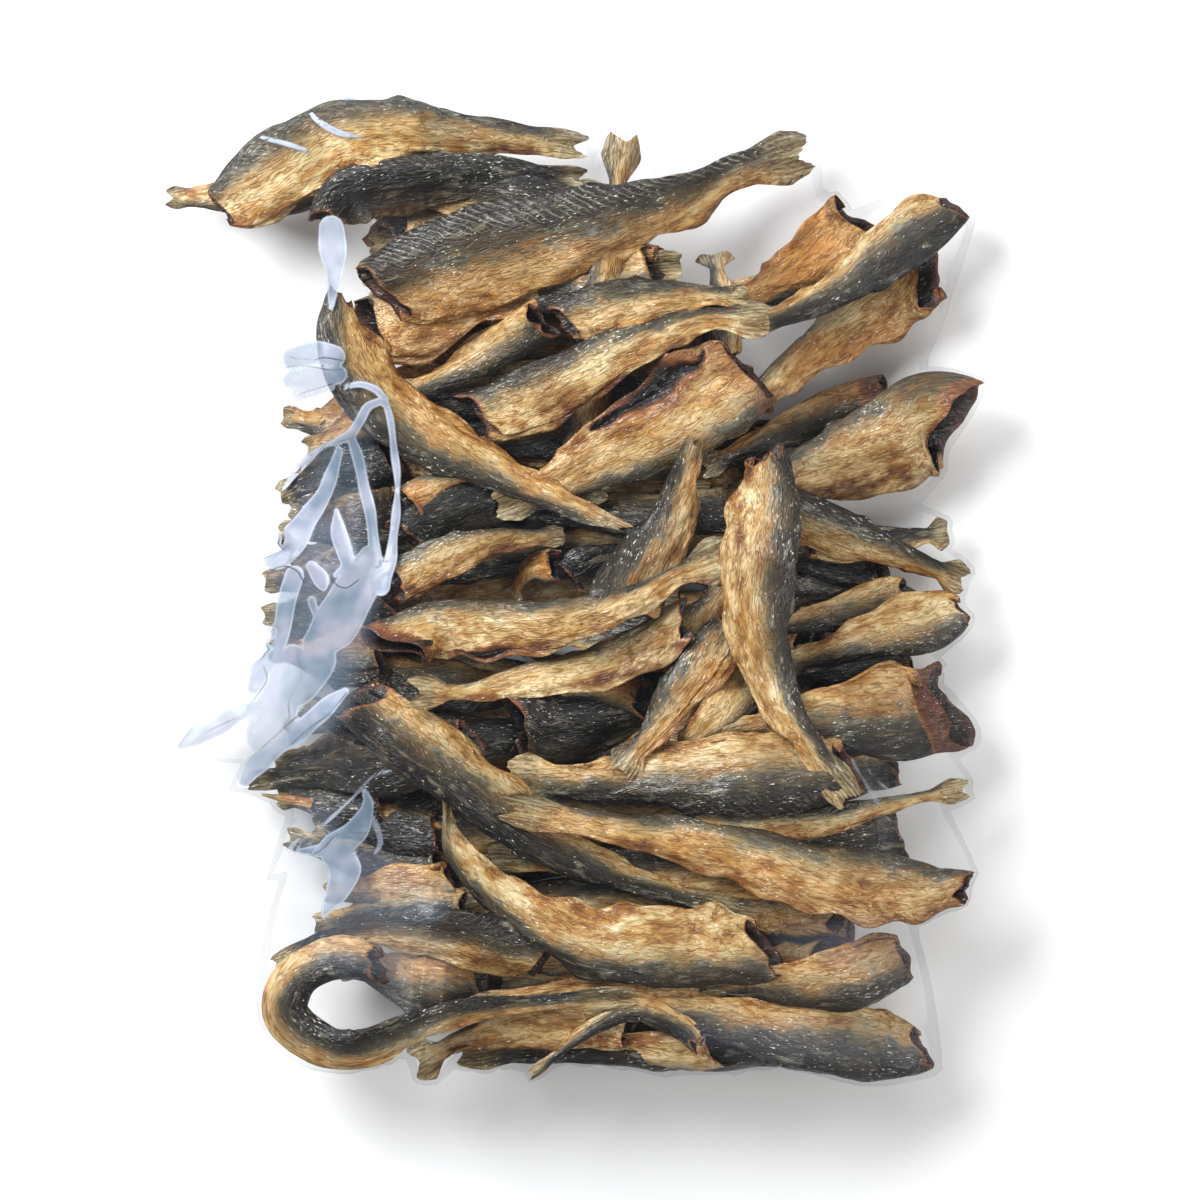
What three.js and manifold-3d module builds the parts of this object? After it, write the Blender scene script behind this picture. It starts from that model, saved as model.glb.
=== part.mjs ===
// A clear bag packed with small dried fish, headless and gutted, lying flat on its back.
// Millimetres, +Z up, x to the right and y up the shown face, z = 0 on the surface it lies on.
// The bag is one body: a pillow of packed fish, with the fish that show modelled on top of it.
import * as THREE from 'three';
import { mergeVertices } from 'three/addons/utils/BufferGeometryUtils.js';
import Module from 'manifold-3d';

// Where the middle of the whole bag falls in the layout below
const MIDDLE = [-0.15, 0.5];

// Fish proportions, as shares of a fish's own length or width
const BODY_THICKNESS = 0.42;
const WIDEST_AT = 0.24;
const FIN_ROOT_AT = 0.86;
const FIN_ROOT_WIDTH = 0.36;
const FIN_NOTCH = 0.35;
const NECK_HOLLOW = 0.55;
const LEAST_THICKNESS = 1.8;

// Faces round a fish, and lengths along it for each row of faces
const FISH_SIDES = 6;
const FISH_STEP = 17;
const FEWEST_STEPS = 4;

// How the fish settle on each other
const CELL = 3;
const HALF_WIDTH = 156;
const HALF_HEIGHT = 171;
const SETTLE_POINTS = 24;
const SETTLE_PASSES = 45;
const NESTING = 3;
const CONTACT_OFFSETS = [-0.8, -0.5, 0, 0.5, 0.8];

// The packed fish below those that show: rows across the bag, two fish to a row and layer
const PACKED_LAYERS = 2;
const ROW_PITCH = 19;
const ROW_CLEARANCE = 6;
const PACKED_LENGTH = 118;
const PACKED_WIDTH = 20;
const PACKED_SWING = 9;
const ROW_LIMITS = [
  { y: -140, left: -40, right: 84 },
  { y: -120, left: -56, right: 96 },
  { y: -100, left: -76, right: 101 },
  { y: -60, left: -84, right: 95 },
  { y: -40, left: -76, right: 89 },
  { y: -20, left: -84, right: 98 },
  { y: 0, left: -87, right: 84 },
  { y: 40, left: -82, right: 69 },
  { y: 80, left: -69, right: 64 },
  { y: 100, left: -68, right: 44 },
  { y: 122, left: -70, right: 12 },
];

// The pillow of film and packed fish: where its underside leaves the surface and how high it is
// at the seam, then how the film hangs, and how far the pillow lies below it between the fish
const PILLOW_SPOKES = 48;
const PILLOW_RINGS = [0.24, 0.44, 0.6, 0.74, 0.86, 0.95, 1];
const FLAT_SHARE = 0.6;
const SEAM_LOW = 13;
const SEAM_THICKNESS = 3;
const LEVEL_PASSES = 2;
const HANGING_PASSES = 300;
const FILM_SAG = 12;
const SAG_SHARES = [0.6, 0.95];
const LEAST_PILLOW = 4;
const FILM_SLOPE = 1.5;
const FILM_MARGIN = 1.5;
// Corners where the empty film reaches past the fish, and the level of the seam there
const TIP_LEVEL = 14.5;
const FILM_TIPS = [
  [-92, 79],
  [-92, 66],
  [-102, 9],
  [-128, -51],
  [-110, -63],
  [-97, -92],
];

// The fish that show, in the order they are laid: width, roll in degrees, width at the neck and
// across the tail fin as shares of the width, and the line of the body from neck to tail.
const SHOWN_FISH = [
  // ends and bodies seen in the gaps
  [17, 0, 0.7, 0.45, [[-77, 136], [-100, 130], [-133, 129]]],
  [27, -15, 0.8, 0.4, [[-70, 86], [-58, 86], [-39, 91], [-10, 97]]],
  [15, 0, 0.8, 0.9, [[2, 30], [9, 90], [17, 149]]],
  [13, 20, 0.9, 0.5, [[76, 103], [56, 97], [30, 92]]],
  [13, 0, 0.8, 1, [[50, 72], [48, 92], [46, 111]]],
  [24, -20, 1, 0.5, [[97, 124], [77, 108], [52, 92]]],
  [14, 30, 0.9, 0.5, [[105, 6], [86, 9], [60, 12]]],
  [12, 30, 0.8, 0.3, [[54, 3], [73, 1], [94, -1]]],
  [14, 0, 0.8, 0.8, [[73, 17], [98, 17], [123, 20]]],
  [24, 0, 0.8, 0.5, [[22, -31], [35, -15], [51, 3]]],
  [16, 30, 0.8, 0.5, [[-4, 4], [10, 10], [25, 17]]],
  [11, 0, 0.9, 0.7, [[-2, 10], [-13, 8], [-20, -1]]],
  [23, 10, 0.8, 0.4, [[-45, -48], [-65, -42], [-88, -36]]],
  [20, 5, 0.8, 0.4, [[-39, -88], [-65, -85], [-94, -79]]],
  [18, 0, 0.8, 0.45, [[-35, -94], [-58, -95], [-81, -97]]],
  [21, 5, 0.8, 0.4, [[-30, -104], [-58, -104], [-84, -107]]],
  [12, 0, 0.8, 0.6, [[-42, -133], [-45, -112], [-46, -100]]],
  [16, -30, 0.9, 0.5, [[55, -144], [28, -146], [1, -143]]],
  [22, 0, 0.9, 0.5, [[109, -77], [89, -78], [60, -80]]],
  [12, 20, 0.9, 0.5, [[108, -57], [89, -58], [60, -60]]],
  [21, 5, 0.8, 0.4, [[-55, 46], [-77, 41], [-96, 32]]],
  [21, 0, 0.8, 0.4, [[-55, 8], [-77, 6], [-101, 4]]],
  [21, 5, 0.8, 0.4, [[-55, -2], [-77, -5], [-101, -7]]],
  [21, 0, 0.8, 0.4, [[-58, -21], [-77, -20], [-99, -18]]],
  [22, 20, 0.9, 0.5, [[-26, -40], [-4, -43], [22, -39], [41, -31]]],
  [16, 0, 0.9, 0.5, [[113, 1], [98, -4], [60, -12]]],
  [22, 0, 0.9, 0.4, [[-50, 24], [-74, 23], [-95, 19]]],
  [24, 0, 0.9, 0.5, [[-25, -126], [-50, -124], [-77, -120]]],
  [20, 0, 0.9, 0.4, [[112, -19], [93, -21], [60, -24]]],
  // the lower of the fish that show along their length
  [19, 30, 0.7, 0.4, [[-80, 117], [-71, 127], [-55, 131], [-26, 134], [6, 133]]],
  [19, 0, 0.8, 0.4, [[-55, 63], [-77, 56], [-95, 58]]],
  [14, 0, 0.8, 0.5, [[-52, 63], [-71, 54], [-87, 47]]],
  [17, 0, 0.8, 0.5, [[-5, 86], [15, 92], [35, 95], [57, 95]]],
  [21, 10, 1, 0.5, [[122, 108], [106, 97], [84, 82], [64, 66], [48, 52]]],
  [15, 0, 1, 0.6, [[103, 66], [86, 60], [67, 52], [41, 40]]],
  [33, -20, 0.95, 0.4, [[131, 53], [119, 55], [103, 49], [83, 41], [50, 28]]],
  [17, 10, 0.9, 0.75, [[60, 30], [84, 21], [105, 13], [129, 4]]],
  [18, 30, 0.8, 0.4, [[-57, 17], [-39, 25], [-13, 32], [12, 33]]],
  [12, 0, 1, 0.6, [[-57, 27], [-41, 35], [-29, 37]]],
  [15, 0, 0.9, 0.5, [[-60, 1], [-42, 11], [-23, 17], [-2, 19]]],
  [12, 20, 1, 0.6, [[27, -36], [15, -31], [-4, -31]]],
  [31, -10, 0.9, 0.4, [[130, -36], [107, -38], [79, -40], [48, -46]]],
  [20, -10, 0.7, 0.4, [[129, -5], [105, -11], [86, -17], [66, -24]]],
  [17, 0, 0.8, 0.9, [[62, -19], [51, -34], [39, -47], [29, -59]]],
  [20, 0, 0.8, 0.4, [[-29, -45], [-55, -54], [-80, -58], [-106, -61]]],
  [8, 0, 0.9, 0.15, [[-42, -73], [-70, -70], [-101, -65]]],
  [19, -15, 0.9, 0.4, [[-4, -117], [-29, -111], [-55, -107], [-77, -111], [-97, -121]]],
  [17, 10, 0.9, 0.9, [[22, -139], [-4, -138], [-28, -141], [-52, -152]]],
  [14, 0, 0.8, 0.5, [[67, -122], [28, -125], [-4, -127], [-33, -131]]],
  [25, 10, 0.5, 0.4, [[119, -149], [105, -147], [86, -143], [57, -138], [38, -134], [10, -131]]],
  [22, -15, 0.9, 0.4, [[109, -117], [92, -122], [70, -125], [41, -125]]],
  [8, 0, 0.9, 0.5, [[41, -144], [35, -138], [20, -133], [6, -139], [-14, -155]]],
  [11, 0, 0.9, 0.8, [[35, -72], [54, -75], [79, -73], [105, -67], [129, -63]]],
  // the upper ones
  [28, 10, 0.6, 0.6, [[94, -56], [67, -56], [35, -58], [6, -60], [-22, -59]]],
  [33, -20, 0.85, 0.4, [[59, 73], [41, 62], [22, 51], [-8, 35], [-25, 28]]],
  [19, 10, 0.8, 0.4, [[126, 127], [113, 119], [97, 107], [83, 97], [55, 84]]],
  [26, 5, 0.7, 0.4, [[-115, 124], [-106, 129], [-87, 139], [-71, 147], [-39, 148], [-10, 147], [6, 145]]],
  [15, 10, 0.9, 0.5, [[-6, 89], [-23, 80], [-39, 71], [-57, 64]]],
  [21, -5, 0.8, 0.65, [[-35, 56], [-17, 61], [3, 71], [22, 80], [41, 87], [64, 88]]],
  [18, 10, 0.7, 0.7, [[53, -9], [41, -24], [30, -39], [15, -57]]],
  [22, -12, 0.8, 0.5, [[-71, -31], [-49, -48], [-29, -63], [-4, -81], [25, -93], [55, -99]]],
  [24, 5, 0.35, 0.5, [[131, -93], [115, -96], [95, -94], [73, -89], [41, -80], [9, -74], [-23, -68]]],
  [
    15, 20, 0.8, 0.5,
    [
      [-58, -119], [-73, -117], [-88, -123], [-93, -135], [-83, -144],
      [-70, -147], [-53, -140], [-39, -134], [-17, -131], [22, -128],
    ],
  ],
  [16, 20, 0.8, 0.85, [[39, -6], [25, -16], [9, -24], [-10, -27], [-33, -31], [-53, -31]]],
  // the top ones
  [33, 10, 0.75, 0.55, [[-66, 94], [-45, 102], [-23, 109], [9, 117], [35, 127], [54, 137], [79, 144]]],
  [24, 25, 0.9, 0.3, [[12, -15], [19, 1], [31, 22], [36, 38], [40, 50]]],
  [
    19, -10, 0.95, 0.85,
    [[-64, -20], [-45, -12], [-23, -11], [-4, -10], [15, -4], [35, 6], [53, 13]],
  ],
  [23, -15, 0.35, 0.2, [[-74, 99], [-73, 83], [-64, 66], [-49, 53], [-29, 42], [-7, 31], [19, 20]]],
  [25, 10, 0.4, 0.5, [[63, 50], [62, 30], [59, 8], [59, -10], [65, -31], [75, -48], [89, -66]]],
  [
    27, 5, 0.8, 0.1,
    [
      [67, -112], [52, -113], [31, -112], [9, -111],
      [-10, -104], [-26, -93], [-37, -80], [-40, -65],
    ],
  ],
];

const manifoldLibrary = await Module();
manifoldLibrary.setup();

// A repeatable draw from 0 to 1 for thing number a and use number b
function draw(a, b) {
  const wave = Math.sin(a * 12.9898 + b * 78.233) * 43758.5453;
  return wave - Math.floor(wave);
}

// Width of a fish at a share of its length, as a share of its greatest width
function widthAt(share, neck, fin) {
  if (share < WIDEST_AT) {
    return neck + (1 - neck) * Math.sin((Math.PI / 2) * (share / WIDEST_AT));
  }
  if (share < FIN_ROOT_AT) {
    const along = (share - WIDEST_AT) / (FIN_ROOT_AT - WIDEST_AT);
    return FIN_ROOT_WIDTH + (1 - FIN_ROOT_WIDTH) * Math.cos((Math.PI / 2) * along) ** 1.6;
  }
  const out = (share - FIN_ROOT_AT) / (1 - FIN_ROOT_AT);
  return FIN_ROOT_WIDTH + (fin - FIN_ROOT_WIDTH) * out;
}

// Thickness of a fish at a share of its length, as a share of its greatest thickness
function thicknessAt(share) {
  if (share < WIDEST_AT) {
    return 0.8 + 0.2 * (share / WIDEST_AT);
  }
  const along = Math.min(1, (share - WIDEST_AT) / (FIN_ROOT_AT - WIDEST_AT));
  return 0.14 + 0.86 * Math.cos((Math.PI / 2) * along) ** 1.3;
}

// The sizes of a fish whose width, seen from above and rolled over, is the width given
function makeFish([width, roll, neck, fin, line]) {
  const turn = THREE.MathUtils.degToRad(roll);
  const spread = Math.hypot(Math.cos(turn), BODY_THICKNESS * Math.sin(turn));
  const points = line.map(([x, y]) => new THREE.Vector3(x, y, 0));
  const curve = new THREE.CatmullRomCurve3(points, false, 'catmullrom', 0.5);
  return { curve, turn, neck, fin, depth: width / spread, heights: [] };
}

// Half the width and half the thickness of a fish at a share of its length
function halfSizes(fish, share) {
  const depth = (fish.depth / 2) * widthAt(share, fish.neck, fish.fin);
  const thickness = (fish.depth / 2) * BODY_THICKNESS * thicknessAt(share);
  return { depth, thickness: Math.max(thickness, LEAST_THICKNESS / 2) };
}

// Half the reach of a rolled fish sideways and upwards at a share of its length
function halfReach(fish, share) {
  const { depth, thickness } = halfSizes(fish, share);
  const sine = Math.sin(fish.turn);
  const cosine = Math.cos(fish.turn);
  return {
    across: Math.hypot(depth * cosine, thickness * sine),
    upward: Math.hypot(depth * sine, thickness * cosine),
  };
}

// The height of the heap so far, on a square grid, and the highest and lowest of the fish in it
const FAR = 999;
const gridColumns = Math.ceil((2 * HALF_WIDTH) / CELL);
const gridRows = Math.ceil((2 * HALF_HEIGHT) / CELL);
const heap = new Float64Array(gridColumns * gridRows);
const highest = new Float64Array(gridColumns * gridRows).fill(-FAR);
const lowest = new Float64Array(gridColumns * gridRows).fill(FAR);

function cellAt(x, y) {
  const column = THREE.MathUtils.clamp(Math.floor((x + HALF_WIDTH) / CELL), 0, gridColumns - 1);
  const row = THREE.MathUtils.clamp(Math.floor((y + HALF_HEIGHT) / CELL), 0, gridRows - 1);
  return row * gridColumns + column;
}

// Calls something for each cell, with its number and the place of its middle
function forEachCell(act) {
  for (let row = 0; row < gridRows; row += 1) {
    for (let column = 0; column < gridColumns; column += 1) {
      const x = (column + 0.5) * CELL - HALF_WIDTH;
      const y = (row + 0.5) * CELL - HALF_HEIGHT;
      act(row * gridColumns + column, x, y);
    }
  }
}

// The spoke of the pillow that a place is nearest to
function spokeAt(x, y) {
  const turns = Math.round((Math.atan2(y, x) / (2 * Math.PI)) * PILLOW_SPOKES);
  return (turns + PILLOW_SPOKES) % PILLOW_SPOKES;
}

// The lowest the bag's contents lie: flat in the middle, lifted towards the seam
function fillUnderside(reach) {
  forEachCell((cell, x, y) => {
    heap[cell] = undersideAt(Math.hypot(x, y) / reach[spokeAt(x, y)]);
  });
}

// The height of the pillow's underside at a share of the way from its middle to its seam
function undersideAt(share) {
  return SEAM_LOW * THREE.MathUtils.smoothstep(share, FLAT_SHARE, 1);
}

// Lays a fish on the heap: it rests on what is below it, sags a little between, and raises the heap
function settle(fish) {
  const needed = [];
  for (let i = 0; i < SETTLE_POINTS; i += 1) {
    const share = i / (SETTLE_POINTS - 1);
    const place = fish.curve.getPointAt(share);
    const along = fish.curve.getTangentAt(share);
    const { across, upward } = halfReach(fish, share);
    let height = upward;
    for (const part of CONTACT_OFFSETS) {
      const offset = part * across;
      const below = heap[cellAt(place.x - along.y * offset, place.y + along.x * offset)];
      const sunk = Math.min(NESTING, upward);
      height = Math.max(height, below - sunk + upward * Math.sqrt(1 - part * part));
    }
    needed.push(height);
  }
  let heights = [...needed];
  for (let pass = 0; pass < SETTLE_PASSES; pass += 1) {
    heights = heights.map((height, i) => {
      const before = heights[Math.max(i - 1, 0)];
      const after = heights[Math.min(i + 1, SETTLE_POINTS - 1)];
      return Math.max((before + height + after) / 3, needed[i]);
    });
  }
  fish.heights = heights;
  const steps = Math.ceil(fish.curve.getLength() / (CELL * 0.6));
  for (let i = 0; i <= steps; i += 1) {
    const share = i / steps;
    const place = fish.curve.getPointAt(share);
    const along = fish.curve.getTangentAt(share);
    const { across, upward } = halfReach(fish, share);
    const sideSteps = Math.max(1, Math.ceil(across / (CELL * 0.6)));
    for (let side = -sideSteps; side <= sideSteps; side += 1) {
      const part = side / sideSteps;
      const x = place.x - along.y * part * across;
      const y = place.y + along.x * part * across;
      const bulge = upward * Math.sqrt(Math.max(0, 1 - part * part));
      const cell = cellAt(x, y);
      heap[cell] = Math.max(heap[cell], heightAt(fish, share) + bulge);
      highest[cell] = Math.max(highest[cell], heightAt(fish, share) + bulge);
      lowest[cell] = Math.min(lowest[cell], heightAt(fish, share) - bulge);
    }
  }
}

// The height of a settled fish's middle at a share of its length
function heightAt(fish, share) {
  const place = share * (SETTLE_POINTS - 1);
  const before = Math.min(Math.floor(place), SETTLE_POINTS - 2);
  const after = fish.heights[before + 1];
  return fish.heights[before] + (after - fish.heights[before]) * (place - before);
}

// The left and right ends of the packed rows at a height on the bag
function rowLimits(y) {
  const last = ROW_LIMITS.length - 1;
  const held = THREE.MathUtils.clamp(y, ROW_LIMITS[0].y, ROW_LIMITS[last].y);
  let i = 0;
  while (i < last - 1 && ROW_LIMITS[i + 1].y < held) {
    i += 1;
  }
  const part = (held - ROW_LIMITS[i].y) / (ROW_LIMITS[i + 1].y - ROW_LIMITS[i].y);
  return {
    left: THREE.MathUtils.lerp(ROW_LIMITS[i].left, ROW_LIMITS[i + 1].left, part),
    right: THREE.MathUtils.lerp(ROW_LIMITS[i].right, ROW_LIMITS[i + 1].right, part),
  };
}

// Lays the packed fish, each with one end at a side of the bag
function packRows() {
  const lowest = ROW_LIMITS[0].y;
  const highest = ROW_LIMITS[ROW_LIMITS.length - 1].y;
  const rows = Math.round((highest - lowest) / ROW_PITCH) + 1;
  let number = 0;
  for (let layer = 0; layer < PACKED_LAYERS; layer += 1) {
    for (let row = 0; row < rows; row += 1) {
      for (const side of [-1, 1]) {
        number += 1;
        const y = lowest + ((highest - lowest) * row) / (rows - 1);
        const limits = rowLimits(y);
        const outer = (side < 0 ? limits.left : limits.right) - side * 8 * draw(number, 1);
        const swing = PACKED_SWING * (2 * draw(number, 2) - 1);
        const longest = limits.right - limits.left - ROW_CLEARANCE;
        const length = Math.min(PACKED_LENGTH * (0.85 + 0.3 * draw(number, 3)), longest);
        const inner = outer - side * length;
        const width = PACKED_WIDTH * (0.8 + 0.4 * draw(number, 4));
        const roll = 30 * (2 * draw(number, 5) - 1);
        const bow = 5 * (2 * draw(number, 6) - 1);
        const line = [[outer, y], [(outer + inner) / 2, y + swing / 2 + bow], [inner, y + swing]];
        settle(makeFish([width, roll, 0.85, 0.5, line]));
      }
    }
  }
}

// How far the film reaches from the middle along each spoke, and the tip that holds it out there:
// it reaches out to the tips and slopes in between them
function filmReach(fishes) {
  const tips = FILM_TIPS.map(([x, y]) => ({ spot: new THREE.Vector2(x, y) }));
  for (const fish of fishes) {
    for (let i = 0; i < SETTLE_POINTS; i += 1) {
      const share = i / (SETTLE_POINTS - 1);
      const place = fish.curve.getPointAt(share);
      const along = fish.curve.getTangentAt(share);
      const { across } = halfReach(fish, share);
      for (const side of [-across, across]) {
        const spot = new THREE.Vector2(place.x - along.y * side, place.y + along.x * side);
        tips.push({ spot, fish, share });
      }
    }
  }
  const reach = [];
  const holders = [];
  for (let spoke = 0; spoke < PILLOW_SPOKES; spoke += 1) {
    const angle = (2 * Math.PI * spoke) / PILLOW_SPOKES;
    let farthest = 0;
    for (const tip of tips) {
      const turn = tip.spot.angle() - angle;
      const apart = Math.abs(Math.atan2(Math.sin(turn), Math.cos(turn)));
      const extent = tip.spot.length() * (1 - FILM_SLOPE * apart);
      if (extent > farthest) {
        farthest = extent;
        holders[spoke] = tip;
      }
    }
    reach.push(farthest + FILM_MARGIN);
  }
  return { reach, holders };
}

// The level of the seam on each spoke: that of the fish that hold the film out round about
function seamLevels(holders) {
  let levels = holders.map((tip) => (tip.fish ? heightAt(tip.fish, tip.share) : TIP_LEVEL));
  for (let pass = 0; pass < LEVEL_PASSES; pass += 1) {
    levels = levels.map((level, i) => {
      const before = levels[(i + PILLOW_SPOKES - 1) % PILLOW_SPOKES];
      const after = levels[(i + 1) % PILLOW_SPOKES];
      return (before + level + after) / 3;
    });
  }
  return levels;
}

// The height of a sheet of film over each cell: taut from the seam past all that it has to clear
function hang(obstacle, pick, reach, levels) {
  const sheet = new Float64Array(gridColumns * gridRows);
  const within = [];
  forEachCell((cell, x, y) => {
    const spoke = spokeAt(x, y);
    sheet[cell] = levels[spoke];
    if (Math.hypot(x, y) < reach[spoke] - CELL / 2) {
      within.push(cell);
    }
  });
  for (let pass = 0; pass < HANGING_PASSES; pass += 1) {
    for (const cell of within) {
      const besides = sheet[cell - 1] + sheet[cell + 1];
      const around = besides + sheet[cell - gridColumns] + sheet[cell + gridColumns];
      sheet[cell] = pick(around / 4, obstacle[cell]);
    }
  }
  return sheet;
}

// A three.js geometry as a solid that can be joined and cut
function toSolid(geometry) {
  geometry.deleteAttribute('normal');
  geometry.deleteAttribute('uv');
  const merged = mergeVertices(geometry, 1e-4);
  const triVerts = Uint32Array.from(merged.index.array);
  const vertProperties = Float32Array.from(merged.attributes.position.array);
  if (signedVolume(vertProperties, triVerts) < 0) {
    for (let i = 0; i < triVerts.length; i += 3) {
      [triVerts[i + 1], triVerts[i + 2]] = [triVerts[i + 2], triVerts[i + 1]];
    }
  }
  const mesh = new manifoldLibrary.Mesh({ numProp: 3, vertProperties, triVerts });
  return new manifoldLibrary.Manifold(mesh);
}

function signedVolume(positions, triangles) {
  const corners = [new THREE.Vector3(), new THREE.Vector3(), new THREE.Vector3()];
  let volume = 0;
  for (let i = 0; i < triangles.length; i += 3) {
    corners.forEach((corner, k) => corner.fromArray(positions, triangles[i + k] * 3));
    volume += corners[0].dot(corners[1].clone().cross(corners[2])) / 6;
  }
  return volume;
}

// A fish as a closed solid: a closed cylinder whose rings follow the body, with a hollow neck
// and a notched tail fin
function fishSolid(fish) {
  const steps = Math.max(FEWEST_STEPS, Math.round(fish.curve.getLength() / FISH_STEP));
  const geometry = new THREE.CylinderGeometry(1, 1, 1, FISH_SIDES, steps);
  const position = geometry.attributes.position;
  const sine = Math.sin(fish.turn);
  const cosine = Math.cos(fish.turn);
  for (let i = 0; i < position.count; i += 1) {
    const sideways = position.getZ(i);
    const upward = position.getX(i);
    let share = 0.5 - position.getY(i);
    const { depth, thickness } = halfSizes(fish, share);
    if (Math.hypot(sideways, upward) < 0.5) {
      const inward = share < 0.5 ? NECK_HOLLOW * fish.neck : FIN_NOTCH * fish.fin;
      const shift = (inward * fish.depth) / fish.curve.getLength();
      share += share < 0.5 ? shift : -shift;
    }
    const place = fish.curve.getPointAt(share);
    const along = fish.curve.getTangentAt(share);
    const offset = sideways * depth * cosine - upward * thickness * sine;
    const rise = sideways * depth * sine + upward * thickness * cosine;
    const z = Math.max(heightAt(fish, share) + rise, 0.4);
    position.setXYZ(i, place.x - along.y * offset, place.y + along.x * offset, z);
  }
  return toSolid(geometry);
}

// The pillow: a closed sphere whose lower half is the film under the fish, flat where the bag
// lies on it, whose rim is the seam of the bag, and whose upper half is the film too, but lies
// below it where the fish stand out
function pillowSolid({ reach, holders }) {
  const levels = seamLevels(holders);
  const topSheet = hang(highest, Math.max, reach, levels);
  const bottomSheet = hang(lowest, Math.min, reach, levels);
  const rings = PILLOW_RINGS.length;
  const geometry = new THREE.SphereGeometry(1, PILLOW_SPOKES, 2 * rings + 1);
  geometry.rotateX(Math.PI / 2);
  const position = geometry.attributes.position;
  const rowLength = PILLOW_SPOKES + 1;
  for (let i = 0; i < position.count; i += 1) {
    const row = Math.floor(i / rowLength);
    const isTop = row <= rings;
    const ring = isTop ? row : 2 * rings + 1 - row;
    const share = ring === 0 ? 0 : PILLOW_RINGS[ring - 1];
    const spoke = spokeAt(position.getX(i), position.getY(i));
    const angle = (2 * Math.PI * spoke) / PILLOW_SPOKES;
    const x = share * reach[spoke] * Math.cos(angle);
    const y = share * reach[spoke] * Math.sin(angle);
    const cell = cellAt(x, y);
    const sag = FILM_SAG * (1 - THREE.MathUtils.smoothstep(share, ...SAG_SHARES));
    let low = share <= FLAT_SHARE ? 0 : Math.max(bottomSheet[cell], 0);
    let high = Math.max(topSheet[cell] - sag, low + LEAST_PILLOW);
    if (share === 1) {
      low = levels[spoke] - SEAM_THICKNESS / 2;
      high = levels[spoke] + SEAM_THICKNESS / 2;
    }
    position.setXYZ(i, x, y, isTop ? high : low);
  }
  return toSolid(geometry);
}

// The outer skin of the largest piece of a solid, without sealed hollows or loose scraps
function outerSkin(solid) {
  const { vertProperties, triVerts } = solid.getMesh();
  const parent = Array.from({ length: vertProperties.length / 3 }, (_, i) => i);
  const root = (i) => {
    let at = i;
    while (parent[at] !== at) {
      parent[at] = parent[parent[at]];
      at = parent[at];
    }
    return at;
  };
  for (let i = 0; i < triVerts.length; i += 3) {
    parent[root(triVerts[i])] = root(triVerts[i + 1]);
    parent[root(triVerts[i + 1])] = root(triVerts[i + 2]);
  }
  const shells = new Map();
  for (let i = 0; i < triVerts.length; i += 3) {
    const shell = root(triVerts[i]);
    if (!shells.has(shell)) {
      shells.set(shell, []);
    }
    shells.get(shell).push(triVerts[i], triVerts[i + 1], triVerts[i + 2]);
  }
  const volumes = [...shells.values()].map((triangles) => signedVolume(vertProperties, triangles));
  const largest = [...shells.values()][volumes.indexOf(Math.max(...volumes))];
  const geometry = new THREE.BufferGeometry();
  geometry.setAttribute('position', new THREE.BufferAttribute(vertProperties, 3));
  geometry.setIndex(largest);
  const flat = geometry.toNonIndexed();
  return mergeVertices(flat, 1e-5);
}

const shownFish = SHOWN_FISH.map(makeFish);
const film = filmReach(shownFish);
fillUnderside(film.reach);
packRows();
shownFish.forEach(settle);
let bag = pillowSolid(film);
for (const fish of shownFish) {
  bag = bag.add(fishSolid(fish));
}

const material = new THREE.MeshStandardMaterial({ color: 0xa98a5c, roughness: 0.6, metalness: 0 });
const bagMesh = new THREE.Mesh(outerSkin(bag), material);
bagMesh.name = 'bag_of_fish';
bagMesh.position.set(-MIDDLE[0], -MIDDLE[1], 0);

const part = new THREE.Group();
part.add(bagMesh);

export default part;
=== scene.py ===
# A clear film bag packed with small dried fish, headless and gutted, lying flat with the shown
# side up. Lengths in the layout are millimetres and become metres where a mesh is made.
import math

import bpy
import numpy as np
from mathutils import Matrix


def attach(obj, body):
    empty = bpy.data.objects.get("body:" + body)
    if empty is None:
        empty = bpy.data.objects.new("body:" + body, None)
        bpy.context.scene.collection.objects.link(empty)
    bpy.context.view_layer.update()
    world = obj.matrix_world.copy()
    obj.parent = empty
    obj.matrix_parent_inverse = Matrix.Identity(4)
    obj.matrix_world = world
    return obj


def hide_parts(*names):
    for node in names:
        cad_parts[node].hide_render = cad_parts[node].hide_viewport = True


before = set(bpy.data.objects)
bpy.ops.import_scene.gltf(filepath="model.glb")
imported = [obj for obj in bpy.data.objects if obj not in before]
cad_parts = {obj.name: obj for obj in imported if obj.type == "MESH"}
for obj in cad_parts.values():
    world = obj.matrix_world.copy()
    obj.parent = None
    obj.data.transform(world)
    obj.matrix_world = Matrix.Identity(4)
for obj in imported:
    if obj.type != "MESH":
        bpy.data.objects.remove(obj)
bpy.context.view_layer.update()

MM = 0.001


# ---- The studio: a pale table top under three soft boxes and a dim room, and a camera that
# ---- looks straight down on the pack. The table is one large sheet of matt white board.
FLOOR_WIDTH = 12.0
FLOOR_COLOUR = (0.86, 0.86, 0.86, 1)
ROOM_LIGHT = 0.3
CAMERA_LENS = 150.0
CAMERA_SENSOR = 36.0
# What the photograph's square frame takes in, and the level at which it does
FRAMED_WIDTH = 384 * MM
FRAMED_LEVEL = 42 * MM
# The middle of the photograph, from the middle of the pack
FRAME_CENTRE = (9.15 * MM, -2.45 * MM)
ROOM_COLOUR = (0.95, 0.97, 1.0, 1)
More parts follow.
